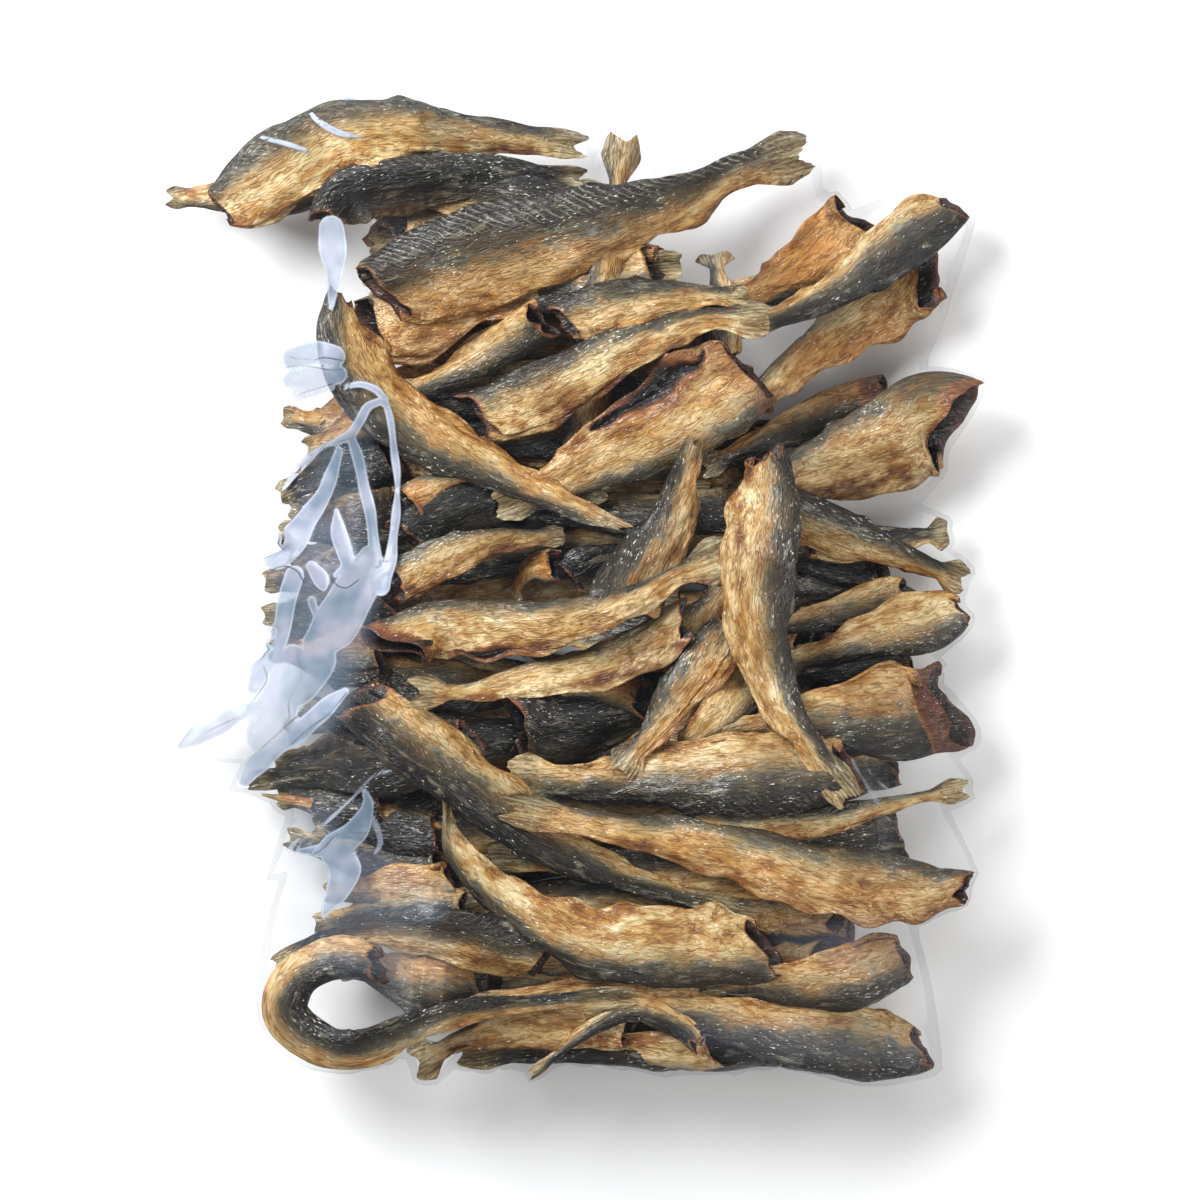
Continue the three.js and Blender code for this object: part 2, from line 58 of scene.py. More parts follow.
# Each soft box: name, place, size, power and colour, and the point that all are aimed at
SOFT_BOXES = [
    ("key_box", (-0.55, 0.42, 0.62), (0.55, 0.45), 14.0, (0.95, 0.975, 1.0)),
    ("fill_box", (0.75, -0.35, 0.75), (0.8, 0.6), 6.0, (1.0, 0.98, 0.95)),
    ("back_box", (0.1, 1.0, 0.7), (0.9, 0.4), 5.0, (1.0, 1.0, 1.0)),
]
SOFT_BOX_AIM = (0, 0, 0.03)


def aim(lamp, target):
    """Turns a lamp that isn't straight above a point so that it shines at it."""
    across, up, rise = np.array(target) - np.array(lamp.location)
    lamp.rotation_euler = (math.atan2(math.hypot(across, up), -rise), 0, math.atan2(-across, up))


bpy.ops.object.select_all(action="DESELECT")
bpy.ops.mesh.primitive_plane_add(size=FLOOR_WIDTH, location=(0, 0, 0))
floor = bpy.context.object
floor.name = "table_top"
floor_finish = bpy.data.materials.new("white_board")
floor_finish.use_nodes = True
board = floor_finish.node_tree.nodes["Principled BSDF"].inputs
board["Base Color"].default_value = FLOOR_COLOUR
board["Roughness"].default_value = 0.9
board["Specular IOR Level"].default_value = 0.15
floor.data.materials.append(floor_finish)

for name, place, size, power, tint in SOFT_BOXES:
    lamp = bpy.data.lights.new(name, "AREA")
    lamp.shape = "RECTANGLE"
    lamp.size, lamp.size_y = size
    lamp.energy = power
    lamp.color = tint
    soft_box = bpy.data.objects.new(name, lamp)
    soft_box.location = place
    bpy.context.scene.collection.objects.link(soft_box)
    aim(soft_box, SOFT_BOX_AIM)

room = bpy.data.worlds.new("room")
room.use_nodes = True
walls = room.node_tree.nodes["Background"].inputs
walls["Color"].default_value = ROOM_COLOUR
walls["Strength"].default_value = ROOM_LIGHT
bpy.context.scene.world = room
bpy.context.scene.view_settings.view_transform = "Standard"

camera_data = bpy.data.cameras.new("camera")
camera_data.lens = CAMERA_LENS
camera_data.sensor_width = CAMERA_SENSOR
camera = bpy.data.objects.new("camera", camera_data)
camera_height = FRAMED_LEVEL + FRAMED_WIDTH * CAMERA_LENS / CAMERA_SENSOR
camera.location = (FRAME_CENTRE[0], FRAME_CENTRE[1], camera_height)
bpy.context.scene.collection.objects.link(camera)
bpy.context.scene.camera = camera


# ---- The heap: how the fish lie in the bag. The packed fish lie in rows across it, two to a row
# ---- and layer, each with an end at a side. The ones that show lie on them in the order given,
# ---- and every fish rests on those below it, sagging a little in between.
MIDDLE = (-0.15, 0.5)
BODY_THICKNESS = 0.42
WIDEST_AT = 0.24
FIN_ROOT_AT = 0.86
FIN_ROOT_WIDTH = 0.36
LEAST_THICKNESS = 1.8
CELL = 3.0
HALF_WIDTH = 156.0
HALF_HEIGHT = 171.0
SETTLE_POINTS = 24
SETTLE_PASSES = 45
NESTING = 3.0
CONTACT_OFFSETS = (-0.8, -0.5, 0.0, 0.5, 0.8)
PACKED_LAYERS = 2
ROW_PITCH = 19.0
ROW_CLEARANCE = 6.0
PACKED_LENGTH = 118.0
PACKED_WIDTH = 20.0
PACKED_SWING = 9.0
# Height on the bag, and the left and right ends of the packed rows there
ROW_LIMITS = [
    (-140, -40, 84),
    (-120, -56, 96),
    (-100, -76, 101),
    (-60, -84, 95),
    (-40, -76, 89),
    (-20, -84, 98),
    (0, -87, 84),
    (40, -82, 69),
    (80, -69, 64),
    (100, -68, 44),
    (122, -70, 12),
]
SPOKES = 48
FLAT_SHARE = 0.6
SEAM_LOW = 13.0
FILM_SLOPE = 1.5
FILM_MARGIN = 1.5
# Corners where the empty film reaches past the fish, and the level of the seam there
TIP_LEVEL = 14.5
FILM_TIPS = [(-92, 79), (-92, 66), (-102, 9), (-128, -51), (-110, -63), (-97, -92)]

# The fish that show, by layer: width, roll in degrees, width at the neck and across the tail fin
# as shares of the width, the side of the body line that the back is on (1 left, -1 right), how
# far the neck gapes, how far the cut slants back to the belly, how dark, warm and pale the skin
# is, and the line of the body from neck to tail.
SHOWN_FISH = {
    "gaps": [
        (17, 0, 0.7, 0.45, 1, 0.3, 4, 0.35, 0.4, 0.3, [(-77, 136), (-100, 130), (-133, 129)]),
        (27, -15, 0.8, 0.4, 1, 0.4, 6, 0.1, 0.6, 0.3, [(-70, 86), (-58, 86), (-39, 91), (-10, 97)]),
        (15, 0, 0.8, 0.9, 1, 0.3, 4, 0.3, 0.2, 0.3, [(2, 30), (9, 90), (17, 149)]),
        (13, 20, 0.9, 0.5, 1, 0.3, 2, 0.8, 0.3, 0.2, [(76, 103), (56, 97), (30, 92)]),
        (13, 0, 0.8, 1, 1, 0.4, 3, 0.7, 0.2, 0.3, [(50, 72), (48, 92), (46, 111)]),
        (24, -20, 1, 0.5, 1, 0.4, 5, 0.1, 1, 0.1, [(97, 124), (77, 108), (52, 92)]),
        (14, 30, 0.9, 0.5, 1, 0.6, 3, 1.2, 0.7, 0, [(105, 6), (86, 9), (60, 12)]),
        (12, 30, 0.8, 0.3, 1, 0.3, 3, 1.3, 0.2, 0, [(54, 3), (73, 1), (94, -1)]),
        (14, 0, 0.8, 0.8, 1, 0.3, 3, 0.9, 0.2, 0.3, [(73, 17), (98, 17), (123, 20)]),
        (24, 0, 0.8, 0.5, 1, 0.5, 5, 0.25, 0.6, 0.1, [(22, -31), (35, -15), (51, 3)]),
        (16, 30, 0.8, 0.5, 1, 0.4, 4, 1.1, 0.4, 0.2, [(-4, 4), (10, 10), (25, 17)]),
        (11, 0, 0.9, 0.7, 1, 0.9, 2, 0.05, 1, 0, [(-2, 10), (-13, 8), (-20, -1)]),
        (23, 10, 0.8, 0.4, 1, 0.4, 4, 1.5, 0.2, 0, [(-45, -48), (-65, -42), (-88, -36)]),
        (20, 5, 0.8, 0.4, 1, 0.2, 4, 1, 0.1, 0.4, [(-39, -88), (-65, -85), (-94, -79)]),
        (18, 0, 0.8, 0.45, 1, 0.2, 4, 0.55, 0.7, 0.1, [(-35, -94), (-58, -95), (-81, -97)]),
        (21, 5, 0.8, 0.4, 1, 0.2, 4, 1, 0.4, 0.1, [(-30, -104), (-58, -104), (-84, -107)]),
        (12, 0, 0.8, 0.6, 1, 0.4, 3, 0.4, 0.6, 0.1, [(-42, -133), (-45, -112), (-46, -100)]),
        (16, -30, 0.9, 0.5, 1, 1, 4, 0.05, 0.5, 0.6, [(55, -144), (28, -146), (1, -143)]),
        (22, 0, 0.9, 0.5, 1, 0.2, 4, 1.1, 0.4, 0.1, [(109, -77), (89, -78), (60, -80)]),
        (12, 20, 0.9, 0.5, 1, 0.3, 3, 1.1, 0.6, 0, [(108, -57), (89, -58), (60, -60)]),
        (21, 5, 0.8, 0.4, 1, 0.3, 4, 1.3, 0.2, 0.2, [(-55, 46), (-77, 41), (-96, 32)]),
        (21, 0, 0.8, 0.4, 1, 0.3, 3, 1.1, 0.4, 0.1, [(-55, 8), (-77, 6), (-101, 4)]),
        (21, 5, 0.8, 0.4, 1, 0.3, 4, 1.3, 0.5, 0.1, [(-55, -2), (-77, -5), (-101, -7)]),
        (21, 0, 0.8, 0.4, 1, 0.3, 4, 0.7, 0.6, 0.1, [(-58, -21), (-77, -20), (-99, -18)]),
        (22, 20, 0.9, 0.5, 1, 1, 5, 1.3, 0.5, 0.1, [(-26, -40), (-4, -43), (22, -39), (41, -31)]),
        (16, 0, 0.9, 0.5, 1, 0.3, 3, 0.8, 0.5, 0.3, [(113, 1), (98, -4), (60, -12)]),
        (22, 0, 0.9, 0.4, 1, 0.3, 4, 1.2, 0.2, 0.1, [(-50, 24), (-74, 23), (-95, 19)]),
        (24, 0, 0.9, 0.5, 1, 0.3, 4, 0.7, 0.8, 0, [(-25, -126), (-50, -124), (-77, -120)]),
        (20, 0, 0.9, 0.4, 1, 0.3, 3, 1.2, 0.5, 0, [(112, -19), (93, -21), (60, -24)]),
    ],
    "lower": [
        (19, 30, 0.7, 0.4, 1, 0.4, 4, 1.3, 0.2, 0.1,
         [(-80, 117), (-71, 127), (-55, 131), (-26, 134), (6, 133)]),
        (19, 0, 0.8, 0.4, 1, 0.4, 4, 0.4, 0.6, 0.1, [(-55, 63), (-77, 56), (-95, 58)]),
        (14, 0, 0.8, 0.5, 1, 0.4, 3, 0.1, 0.6, 0.3, [(-52, 63), (-71, 54), (-87, 47)]),
        (17, 0, 0.8, 0.5, 1, 0.3, 3, 0.45, 0.7, 0.4, [(-5, 86), (15, 92), (35, 95), (57, 95)]),
        (21, 10, 1, 0.5, -1, 0.7, 8, 0.1, 0.7, 0.3,
         [(122, 108), (106, 97), (84, 82), (64, 66), (48, 52)]),
        (15, 0, 1, 0.6, 1, 0.1, 0, 0.85, 0.7, 0.1, [(103, 66), (86, 60), (67, 52), (41, 40)]),
        (33, -20, 0.95, 0.4, -1, 0.6, 11, 0.1, 0.4, 0.6,
         [(131, 53), (119, 55), (103, 49), (83, 41), (50, 28)]),
        (17, 10, 0.9, 0.75, 1, 0.4, 3, 0.5, 0.2, 0.4, [(60, 30), (84, 21), (105, 13), (129, 4)]),
        (18, 30, 0.8, 0.4, 1, 0.4, 4, 1.3, 0.2, 0.1, [(-57, 17), (-39, 25), (-13, 32), (12, 33)]),
        (12, 0, 1, 0.6, 1, 1, 3, 0.05, 0.9, 0.1, [(-57, 27), (-41, 35), (-29, 37)]),
        (15, 0, 0.9, 0.5, 1, 0.5, 3, 0.2, 0.3, 0.3, [(-60, 1), (-42, 11), (-23, 17), (-2, 19)]),
        (12, 20, 1, 0.6, 1, 0.9, 3, 0.1, 1, 0, [(27, -36), (15, -31), (-4, -31)]),
        (31, -10, 0.9, 0.4, 1, 0.5, 10, 0.7, 0.7, 0.1, [(130, -36), (107, -38), (79, -40), (48, -46)]),
        (20, -10, 0.7, 0.4, 1, 0.1, 3, 0.55, 0.2, 0.8, [(129, -5), (105, -11), (86, -17), (66, -24)]),
        (17, 0, 0.8, 0.9, 1, 0.4, 4, 0.3, 0.2, 0.3, [(62, -19), (51, -34), (39, -47), (29, -59)]),
        (20, 0, 0.8, 0.4, 1, 0.3, 3, 1.5, 0.2, 0.2, [(-29, -45), (-55, -54), (-80, -58), (-106, -61)]),
        (8, 0, 0.9, 0.15, 1, 0.2, 2, 0.05, 0.95, 0, [(-42, -73), (-70, -70), (-101, -65)]),
        (19, -15, 0.9, 0.4, -1, 0.5, 4, 0.7, 0.3, 0.6,
         [(-4, -117), (-29, -111), (-55, -107), (-77, -111), (-97, -121)]),
        (17, 10, 0.9, 0.9, -1, 0.3, 3, 0.15, 0.4, 0.8, [(22, -139), (-4, -138), (-28, -141), (-52, -152)]),
        (14, 0, 0.8, 0.5, 1, 0.4, 3, 0.1, 0.8, 0.3, [(67, -122), (28, -125), (-4, -127), (-33, -131)]),
        (25, 10, 0.5, 0.4, 1, 0.3, 6, 0.72, 0.6, 0.2,
         [(119, -149), (105, -147), (86, -143), (57, -138), (38, -134), (10, -131)]),
        (22, -15, 0.9, 0.4, 1, 0.1, 2, 0.6, 0.5, 0.2, [(109, -117), (92, -122), (70, -125), (41, -125)]),
        (8, 0, 0.9, 0.5, 1, 0.3, 2, 0.8, 0.3, 0.1,
         [(41, -144), (35, -138), (20, -133), (6, -139), (-14, -155)]),
        (11, 0, 0.9, 0.8, 1, 0.3, 2, 0.3, 0.3, 0.6,
         [(35, -72), (54, -75), (79, -73), (105, -67), (129, -63)]),
    ],
    "upper": [
        (28, 10, 0.6, 0.6, 1, 0.3, 6, 0.65, 0.4, 0.3,
         [(94, -56), (67, -56), (35, -58), (6, -60), (-22, -59)]),
        (33, -20, 0.85, 0.4, 1, 0.15, 4, 0.2, 0.5, 0.4, [(59, 73), (41, 62), (22, 51), (-8, 35), (-25, 28)]),
        (19, 10, 0.8, 0.4, 1, 0.15, 4, 0.9, 0.2, 0.6,
         [(126, 127), (113, 119), (97, 107), (83, 97), (55, 84)]),
        (26, 5, 0.7, 0.4, 1, 0.05, 2, 0.36, 0.4, 0.7,
         [(-115, 124), (-106, 129), (-87, 139), (-71, 147), (-39, 148), (-10, 147), (6, 145)]),
        (15, 10, 0.9, 0.5, 1, 0.6, 3, 0.6, 0.2, 0.3, [(-6, 89), (-23, 80), (-39, 71), (-57, 64)]),
        (21, -5, 0.8, 0.65, 1, 0.5, 5, 0.4, 0.3, 0.9,
         [(-35, 56), (-17, 61), (3, 71), (22, 80), (41, 87), (64, 88)]),
        (18, 10, 0.7, 0.7, -1, 0.3, 4, 0.35, 0.6, 0.3, [(53, -9), (41, -24), (30, -39), (15, -57)]),
        (22, -12, 0.8, 0.5, -1, 0.4, 5, 0.75, 0.3, 0.4,
         [(-71, -31), (-49, -48), (-29, -63), (-4, -81), (25, -93), (55, -99)]),
        (24, 5, 0.35, 0.5, -1, 0.3, 5, 0.25, 0.7, 0.3,
         [(131, -93), (115, -96), (95, -94), (73, -89), (41, -80), (9, -74), (-23, -68)]),
        (15, 20, 0.8, 0.5, 1, 0.6, 3, 0.75, 0.4, 0.3,
         [(-58, -119), (-73, -117), (-88, -123), (-93, -135), (-83, -144), (-70, -147), (-53, -140),
          (-39, -134), (-17, -131), (22, -128)]),
        (16, 20, 0.8, 0.85, -1, 0.4, 4, 0.15, 0.3, 0.8,
         [(39, -6), (25, -16), (9, -24), (-10, -27), (-33, -31), (-53, -31)]),
    ],
    "top": [
        (33, 10, 0.75, 0.55, 1, 0.3, 7, 0.62, 0.6, 0.1,
         [(-66, 94), (-45, 102), (-23, 109), (9, 117), (35, 127), (54, 137), (79, 144)]),
        (24, 25, 0.9, 0.3, 1, 0.5, 14, 0.45, 0.8, 0.3, [(12, -15), (19, 1), (31, 22), (36, 38), (40, 50)]),
        (19, -10, 0.95, 0.85, 1, 0.5, 14, 0.25, 0.5, 0.7,
         [(-64, -20), (-45, -12), (-23, -11), (-4, -10), (15, -4), (35, 6), (53, 13)]),
        (23, -15, 0.35, 0.2, -1, 0.2, 5, 0.45, 0.7, 0.2,
         [(-74, 99), (-73, 83), (-64, 66), (-49, 53), (-29, 42), (-7, 31), (19, 20)]),
        (25, 10, 0.4, 0.5, 1, 0.4, 6, 0.45, 0.4, 0.7,
         [(63, 50), (62, 30), (59, 8), (59, -10), (65, -31), (75, -48), (89, -66)]),
        (27, 5, 0.8, 0.1, 1, 0.3, 8, 0.4, 0.5, 0.9,
         [(67, -112), (52, -113), (31, -112), (9, -111), (-10, -104), (-26, -93), (-37, -80), (-40, -65)]),
    ],
}


def draw(a, b):
    """A repeatable draw from 0 to 1 for thing number a and use number b."""
    wave = math.sin(a * 12.9898 + b * 78.233) * 43758.5453
    return wave - math.floor(wave)


def unit(x):
    """A value held between 0 and 1."""
    return np.clip(x, 0, 1)


def smooth_step(x, low, high):
    """0 below low, 1 above high, and a smooth rise between."""
    t = unit((x - low) / (high - low))
    return t * t * (3 - 2 * t)


def half_turn(angle):
    """An angle brought to within half a turn of 0."""
    return (angle + math.pi) % (2 * math.pi) - math.pi


def peak(x, width):
    """1 at 0 and less on both sides of it."""
    return np.exp(-((x / width) ** 2))


def width_at(share, neck, fin):
    """Width of a fish at a share of its length, as a share of its greatest width."""
    front = neck + (1 - neck) * np.sin(math.pi / 2 * unit(share / WIDEST_AT))
    along = unit((share - WIDEST_AT) / (FIN_ROOT_AT - WIDEST_AT))
    body = FIN_ROOT_WIDTH + (1 - FIN_ROOT_WIDTH) * np.cos(math.pi / 2 * along) ** 1.6
    out = unit((share - FIN_ROOT_AT) / (1 - FIN_ROOT_AT))
    tail = FIN_ROOT_WIDTH + (fin - FIN_ROOT_WIDTH) * out
    return np.where(share < WIDEST_AT, front, np.where(share < FIN_ROOT_AT, body, tail))


def thickness_at(share):
    """Thickness of a fish at a share of its length, as a share of its greatest thickness."""
    front = 0.8 + 0.2 * share / WIDEST_AT
    along = unit((share - WIDEST_AT) / (FIN_ROOT_AT - WIDEST_AT))
    return np.where(share < WIDEST_AT, front, 0.14 + 0.86 * np.cos(math.pi / 2 * along) ** 1.3)


class Fish:
    """A fish's sizes and the smooth line that its body follows."""

    def __init__(self, width, roll, neck, fin, back_side, gape, cut, dark, warm, pale, line):
        self.turn = math.radians(roll)
        spread = math.hypot(math.cos(self.turn), BODY_THICKNESS * math.sin(self.turn))
        self.depth = width / spread
        self.neck, self.fin, self.back_side = neck, fin, back_side
        self.gape, self.cut = gape, cut
        self.dark, self.warm, self.pale = dark, warm, pale
        self.points, self.tangents = smooth_line(np.array(line, float))
        steps = np.linalg.norm(np.diff(self.points, axis=0), axis=1)
        self.marks = np.concatenate([[0], np.cumsum(steps)])
        self.length = self.marks[-1]
        self.heights = None

    def place(self, share):
        """Plan position and direction at shares of the length, straight on past both ends."""
        held = unit(share) * self.length
        spot = np.stack([np.interp(held, self.marks, self.points[:, k]) for k in (0, 1)], -1)
        along = np.stack([np.interp(held, self.marks, self.tangents[:, k]) for k in (0, 1)], -1)
        along /= np.linalg.norm(along, axis=-1, keepdims=True)
        beyond = (share - unit(share)) * self.length
        return spot + along * np.expand_dims(beyond, -1), along

    def half_sizes(self, share):
        """Half the width and half the thickness at shares of the length."""
        depth = self.depth / 2 * width_at(share, self.neck, self.fin)
        thickness = self.depth / 2 * BODY_THICKNESS * thickness_at(share)
        return depth, np.maximum(thickness, LEAST_THICKNESS / 2)

    def half_reach(self, share):
        """Half the reach sideways and upwards of the rolled fish."""
        depth, thickness = self.half_sizes(share)
        across = np.hypot(depth * math.cos(self.turn), thickness * math.sin(self.turn))
        upward = np.hypot(depth * math.sin(self.turn), thickness * math.cos(self.turn))
        return across, upward

    def height(self, share):
        """The height of the settled fish's middle."""
        marks = np.linspace(0, 1, SETTLE_POINTS)
        return np.interp(share, marks, self.heights)


def smooth_line(line, pieces=40):
    """Points and directions along a smooth curve through the points of a line."""
    ends = np.vstack([2 * line[0] - line[1], line, 2 * line[-1] - line[-2]])
    t = np.linspace(0, 1, pieces, endpoint=False)[:, None]
    points, tangents = [], []
    for i in range(len(line) - 1):
        before, start, end, after = ends[i:i + 4]
        leave, arrive = (end - before) / 2, (after - start) / 2
        bend = 3 * (end - start) - 2 * leave - arrive
        twist = 2 * (start - end) + leave + arrive
        points.append(start + leave * t + bend * t ** 2 + twist * t ** 3)
        tangents.append(leave + 2 * bend * t + 3 * twist * t ** 2)
        last = (end, leave + 2 * bend + 3 * twist)
    points.append(last[0][None])
    tangents.append(last[1][None])
    return np.vstack(points), np.vstack(tangents)


columns = math.ceil(2 * HALF_WIDTH / CELL)
rows = math.ceil(2 * HALF_HEIGHT / CELL)
heap = np.zeros((rows, columns))


def cell_at(x, y):
    """Row and column of the heap's grid at a place."""
    column = np.clip(np.floor((x + HALF_WIDTH) / CELL).astype(int), 0, columns - 1)
    row = np.clip(np.floor((y + HALF_HEIGHT) / CELL).astype(int), 0, rows - 1)
    return row, column


def cell_middles(rows, columns, cell):
    """Where the middles of a grid's cells are, across and up the bag."""
    across = (np.arange(columns) + 0.5) * cell - HALF_WIDTH
    up = (np.arange(rows) + 0.5) * cell - HALF_HEIGHT
    return np.meshgrid(across, up)


def film_reach(fishes, spokes):
    """How far the film reaches along each spoke: out to the tips, and sloping in between them."""
    tips = [np.array(FILM_TIPS, float)]
    share = np.linspace(0, 1, SETTLE_POINTS)
    for fish in fishes:
        spot, along = fish.place(share)
        across, _ = fish.half_reach(share)
        sideways = np.stack([-along[:, 1], along[:, 0]], -1) * across[:, None]
        tips += [spot - sideways, spot + sideways]
    tips = np.vstack(tips)
    lengths = np.hypot(tips[:, 0], tips[:, 1])
    angles = np.arctan2(tips[:, 1], tips[:, 0])
    spoke_angles = np.arange(spokes) * 2 * math.pi / spokes
    apart = np.abs(half_turn(angles[None] - spoke_angles[:, None]))
    return (lengths[None] * (1 - FILM_SLOPE * apart)).max(1) + FILM_MARGIN


def underside_at(share):
    """The height of the bag's underside, from its middle at 0 to its seam at 1."""
    return SEAM_LOW * smooth_step(share, FLAT_SHARE, 1)


def settle(fish):
    """Lays a fish on the heap: it rests on what is below it, and raises the heap."""
    share = np.linspace(0, 1, SETTLE_POINTS)
    spot, along = fish.place(share)
    across, upward = fish.half_reach(share)
    needed = upward.copy()
    for part in CONTACT_OFFSETS:
        offset = part * across
        below = heap[cell_at(spot[:, 0] - along[:, 1] * offset, spot[:, 1] + along[:, 0] * offset)]
        sunk = np.minimum(NESTING, upward)
        needed = np.maximum(needed, below - sunk + upward * math.sqrt(1 - part * part))
    heights = needed.copy()
    for _ in range(SETTLE_PASSES):
        padded = np.pad(heights, 1, mode="edge")
        heights = np.maximum((padded[:-2] + heights + padded[2:]) / 3, needed)
    fish.heights = heights
    steps = math.ceil(fish.length / (CELL * 0.6))
    share = np.linspace(0, 1, steps + 1)
    spot, along = fish.place(share)
    across, upward = fish.half_reach(share)
    middle = fish.height(share)
    for i in range(steps + 1):
        side_steps = max(1, math.ceil(across[i] / (CELL * 0.6)))
        part = np.arange(-side_steps, side_steps + 1) / side_steps
        cells = cell_at(
            spot[i, 0] - along[i, 1] * part * across[i],
            spot[i, 1] + along[i, 0] * part * across[i],
        )
        np.maximum.at(heap, cells, middle[i] + upward[i] * np.sqrt(1 - part * part))


def packed_fish():
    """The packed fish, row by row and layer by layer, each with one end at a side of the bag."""
    marks, lefts, rights = np.array(ROW_LIMITS, float).T
    count = round((marks[-1] - marks[0]) / ROW_PITCH) + 1
    made = []
    for layer in range(PACKED_LAYERS):
        for row in range(count):
            for side in (-1, 1):
                number = len(made) + 1
                y = marks[0] + (marks[-1] - marks[0]) * row / (count - 1)
                left, right = np.interp(y, marks, lefts), np.interp(y, marks, rights)
                outer = (left if side < 0 else right) - side * 8 * draw(number, 1)
                swing = PACKED_SWING * (2 * draw(number, 2) - 1)
                longest = right - left - ROW_CLEARANCE
                inner = outer - side * min(PACKED_LENGTH * (0.85 + 0.3 * draw(number, 3)), longest)
                width = PACKED_WIDTH * (0.8 + 0.4 * draw(number, 4))
                roll = 30 * (2 * draw(number, 5) - 1)
                bow = 5 * (2 * draw(number, 6) - 1)
                line = [(outer, y), ((outer + inner) / 2, y + swing / 2 + bow), (inner, y + swing)]
                back_side = 1 if draw(number, 7) > 0.5 else -1
                dark = (0.15 if layer == 0 else 0.55) + 0.45 * draw(number, 8)
                warm, pale = 0.2 + 0.7 * draw(number, 9), 0.8 * draw(number, 10)
                fish = Fish(width, roll, 0.85, 0.5, back_side, 0.7, 5, dark, warm, pale, line)
                settle(fish)
                made.append(fish)
    return made


# More packed fish, at the left where little lies on the rows: their shape, how dark and how pale
# they are, and the middle line of each
FILL_SHAPE = (18, 0, 0.8, 0.5, 1, 0.3, 3)
FILL_DARK, FILL_PALE = 1.3, 0.2
FILL_LINES = [
    [(-58, 31), (-76, 30), (-93, 28)],
    [(-52, 15), (-72, 14), (-92, 13)],
    [(-55, -12), (-76, -12), (-97, -13)],
    [(-54, -34), (-74, -38), (-94, -46)],
    [(-58, -51), (-76, -52), (-98, -55)],
    [(-58, -66), (-78, -67), (-96, -66)],
    [(-40, -77), (-62, -76), (-84, -75)],
    [(-44, 56), (-62, 54), (-82, 52)],
]
shown = {layer: [Fish(*entry) for entry in fishes] for layer, fishes in SHOWN_FISH.items()}
all_shown = [fish for fishes in shown.values() for fish in fishes]
coarse_reach = film_reach(all_shown, SPOKES)
grid_x, grid_y = cell_middles(rows, columns, CELL)
grid_turn = np.round(np.arctan2(grid_y, grid_x) / (2 * math.pi) * SPOKES).astype(int) % SPOKES
heap[:] = underside_at(np.hypot(grid_x, grid_y) / coarse_reach[grid_turn])
packed = packed_fish()
packed_level = heap.copy()
for fish in all_shown:
    settle(fish)
fill = []
for number, line in enumerate(FILL_LINES):
    heap[:] = packed_level
    fill.append(Fish(*FILL_SHAPE, FILL_DARK, 0.5 * draw(number, 50), FILL_PALE, line))
    settle(fill[-1])


# ---- A dried fish: a flattened body with a thick back and a thin belly edge, cut open along the
# ---- belly, its head cut off, so that the neck is a ragged hollow, and a thin rayed tail fin.
# ---- It is a grid rolled into a closed skin: cavity, torn rim, body, then fin.
CAVITY_ROWS = 0.1
# Rows along and columns round a fish, by layer
FISH_DETAIL = {
    "top": (150, 60), "upper": (130, 56), "lower": (108, 48), "gaps": (84, 36), "packed": (46, 24),
}
BACK_BULGE = 0.26
BELLY_THINNING = 0.42
FLANK_HOLLOW = 0.24
WALL = 0.9
SLIT_END = 0.58
CUT_REACH = 0.32
FIN_THICKNESS = 0.6
TEAR_LENGTH = 2.2
# Nothing of a fish is lower than this
FISH_FLOOR = 0.6
# How far the bands, ribs and wrinkles seem to stand out, and how close points are to be merged
SKIN_RELIEF = 0.7 * MM
MERGE_DISTANCE = 0.01 * MM
# Fish, by number, whose belly gapes on the upper side: from and to along it as shares of the
# length, then in radians how far up the side and half how wide
OPEN_SLITS = {
    54: (0.08, 0.6, 0.55, 0.46),
    66: (0.1, 0.5, 0.4, 0.3),
}
# Fish whose neck is torn back to the dark flesh, by number: how far, and how dark
TORN_NECKS = {41: (15, 0.45), 34: (10, 0.5), 35: (6, 0.34), 33: (6, 0.3), 54: (11, 0.2), 66: (8, 0.4)}
# Fish, by number, with bands of muscle standing out on the back and ribs along the belly
BANDED_FISH = (64,)
# The shown fish are numbered from 0, in the order they are laid, and the packed ones from these
PACKED_NUMBER, FILL_NUMBER = 100, 200


def waves(coordinates, seed, count=5):
    """A smooth uneven pattern, mostly from -1 to 1: a sum of waves in seeded directions."""
    total = 0
    for i in range(count):
        phase = 2 * math.pi * draw(seed, 20 + i)
        for k, coordinate in enumerate(coordinates):
            sign = 1 if draw(seed, 60 + 7 * i + k) > 0.5 else -1
            phase = phase + coordinate * sign * (0.6 + 0.9 * draw(seed, 30 + 7 * i + k))
        total = total + np.sin(phase)
    return total / math.sqrt(count) / 1.3


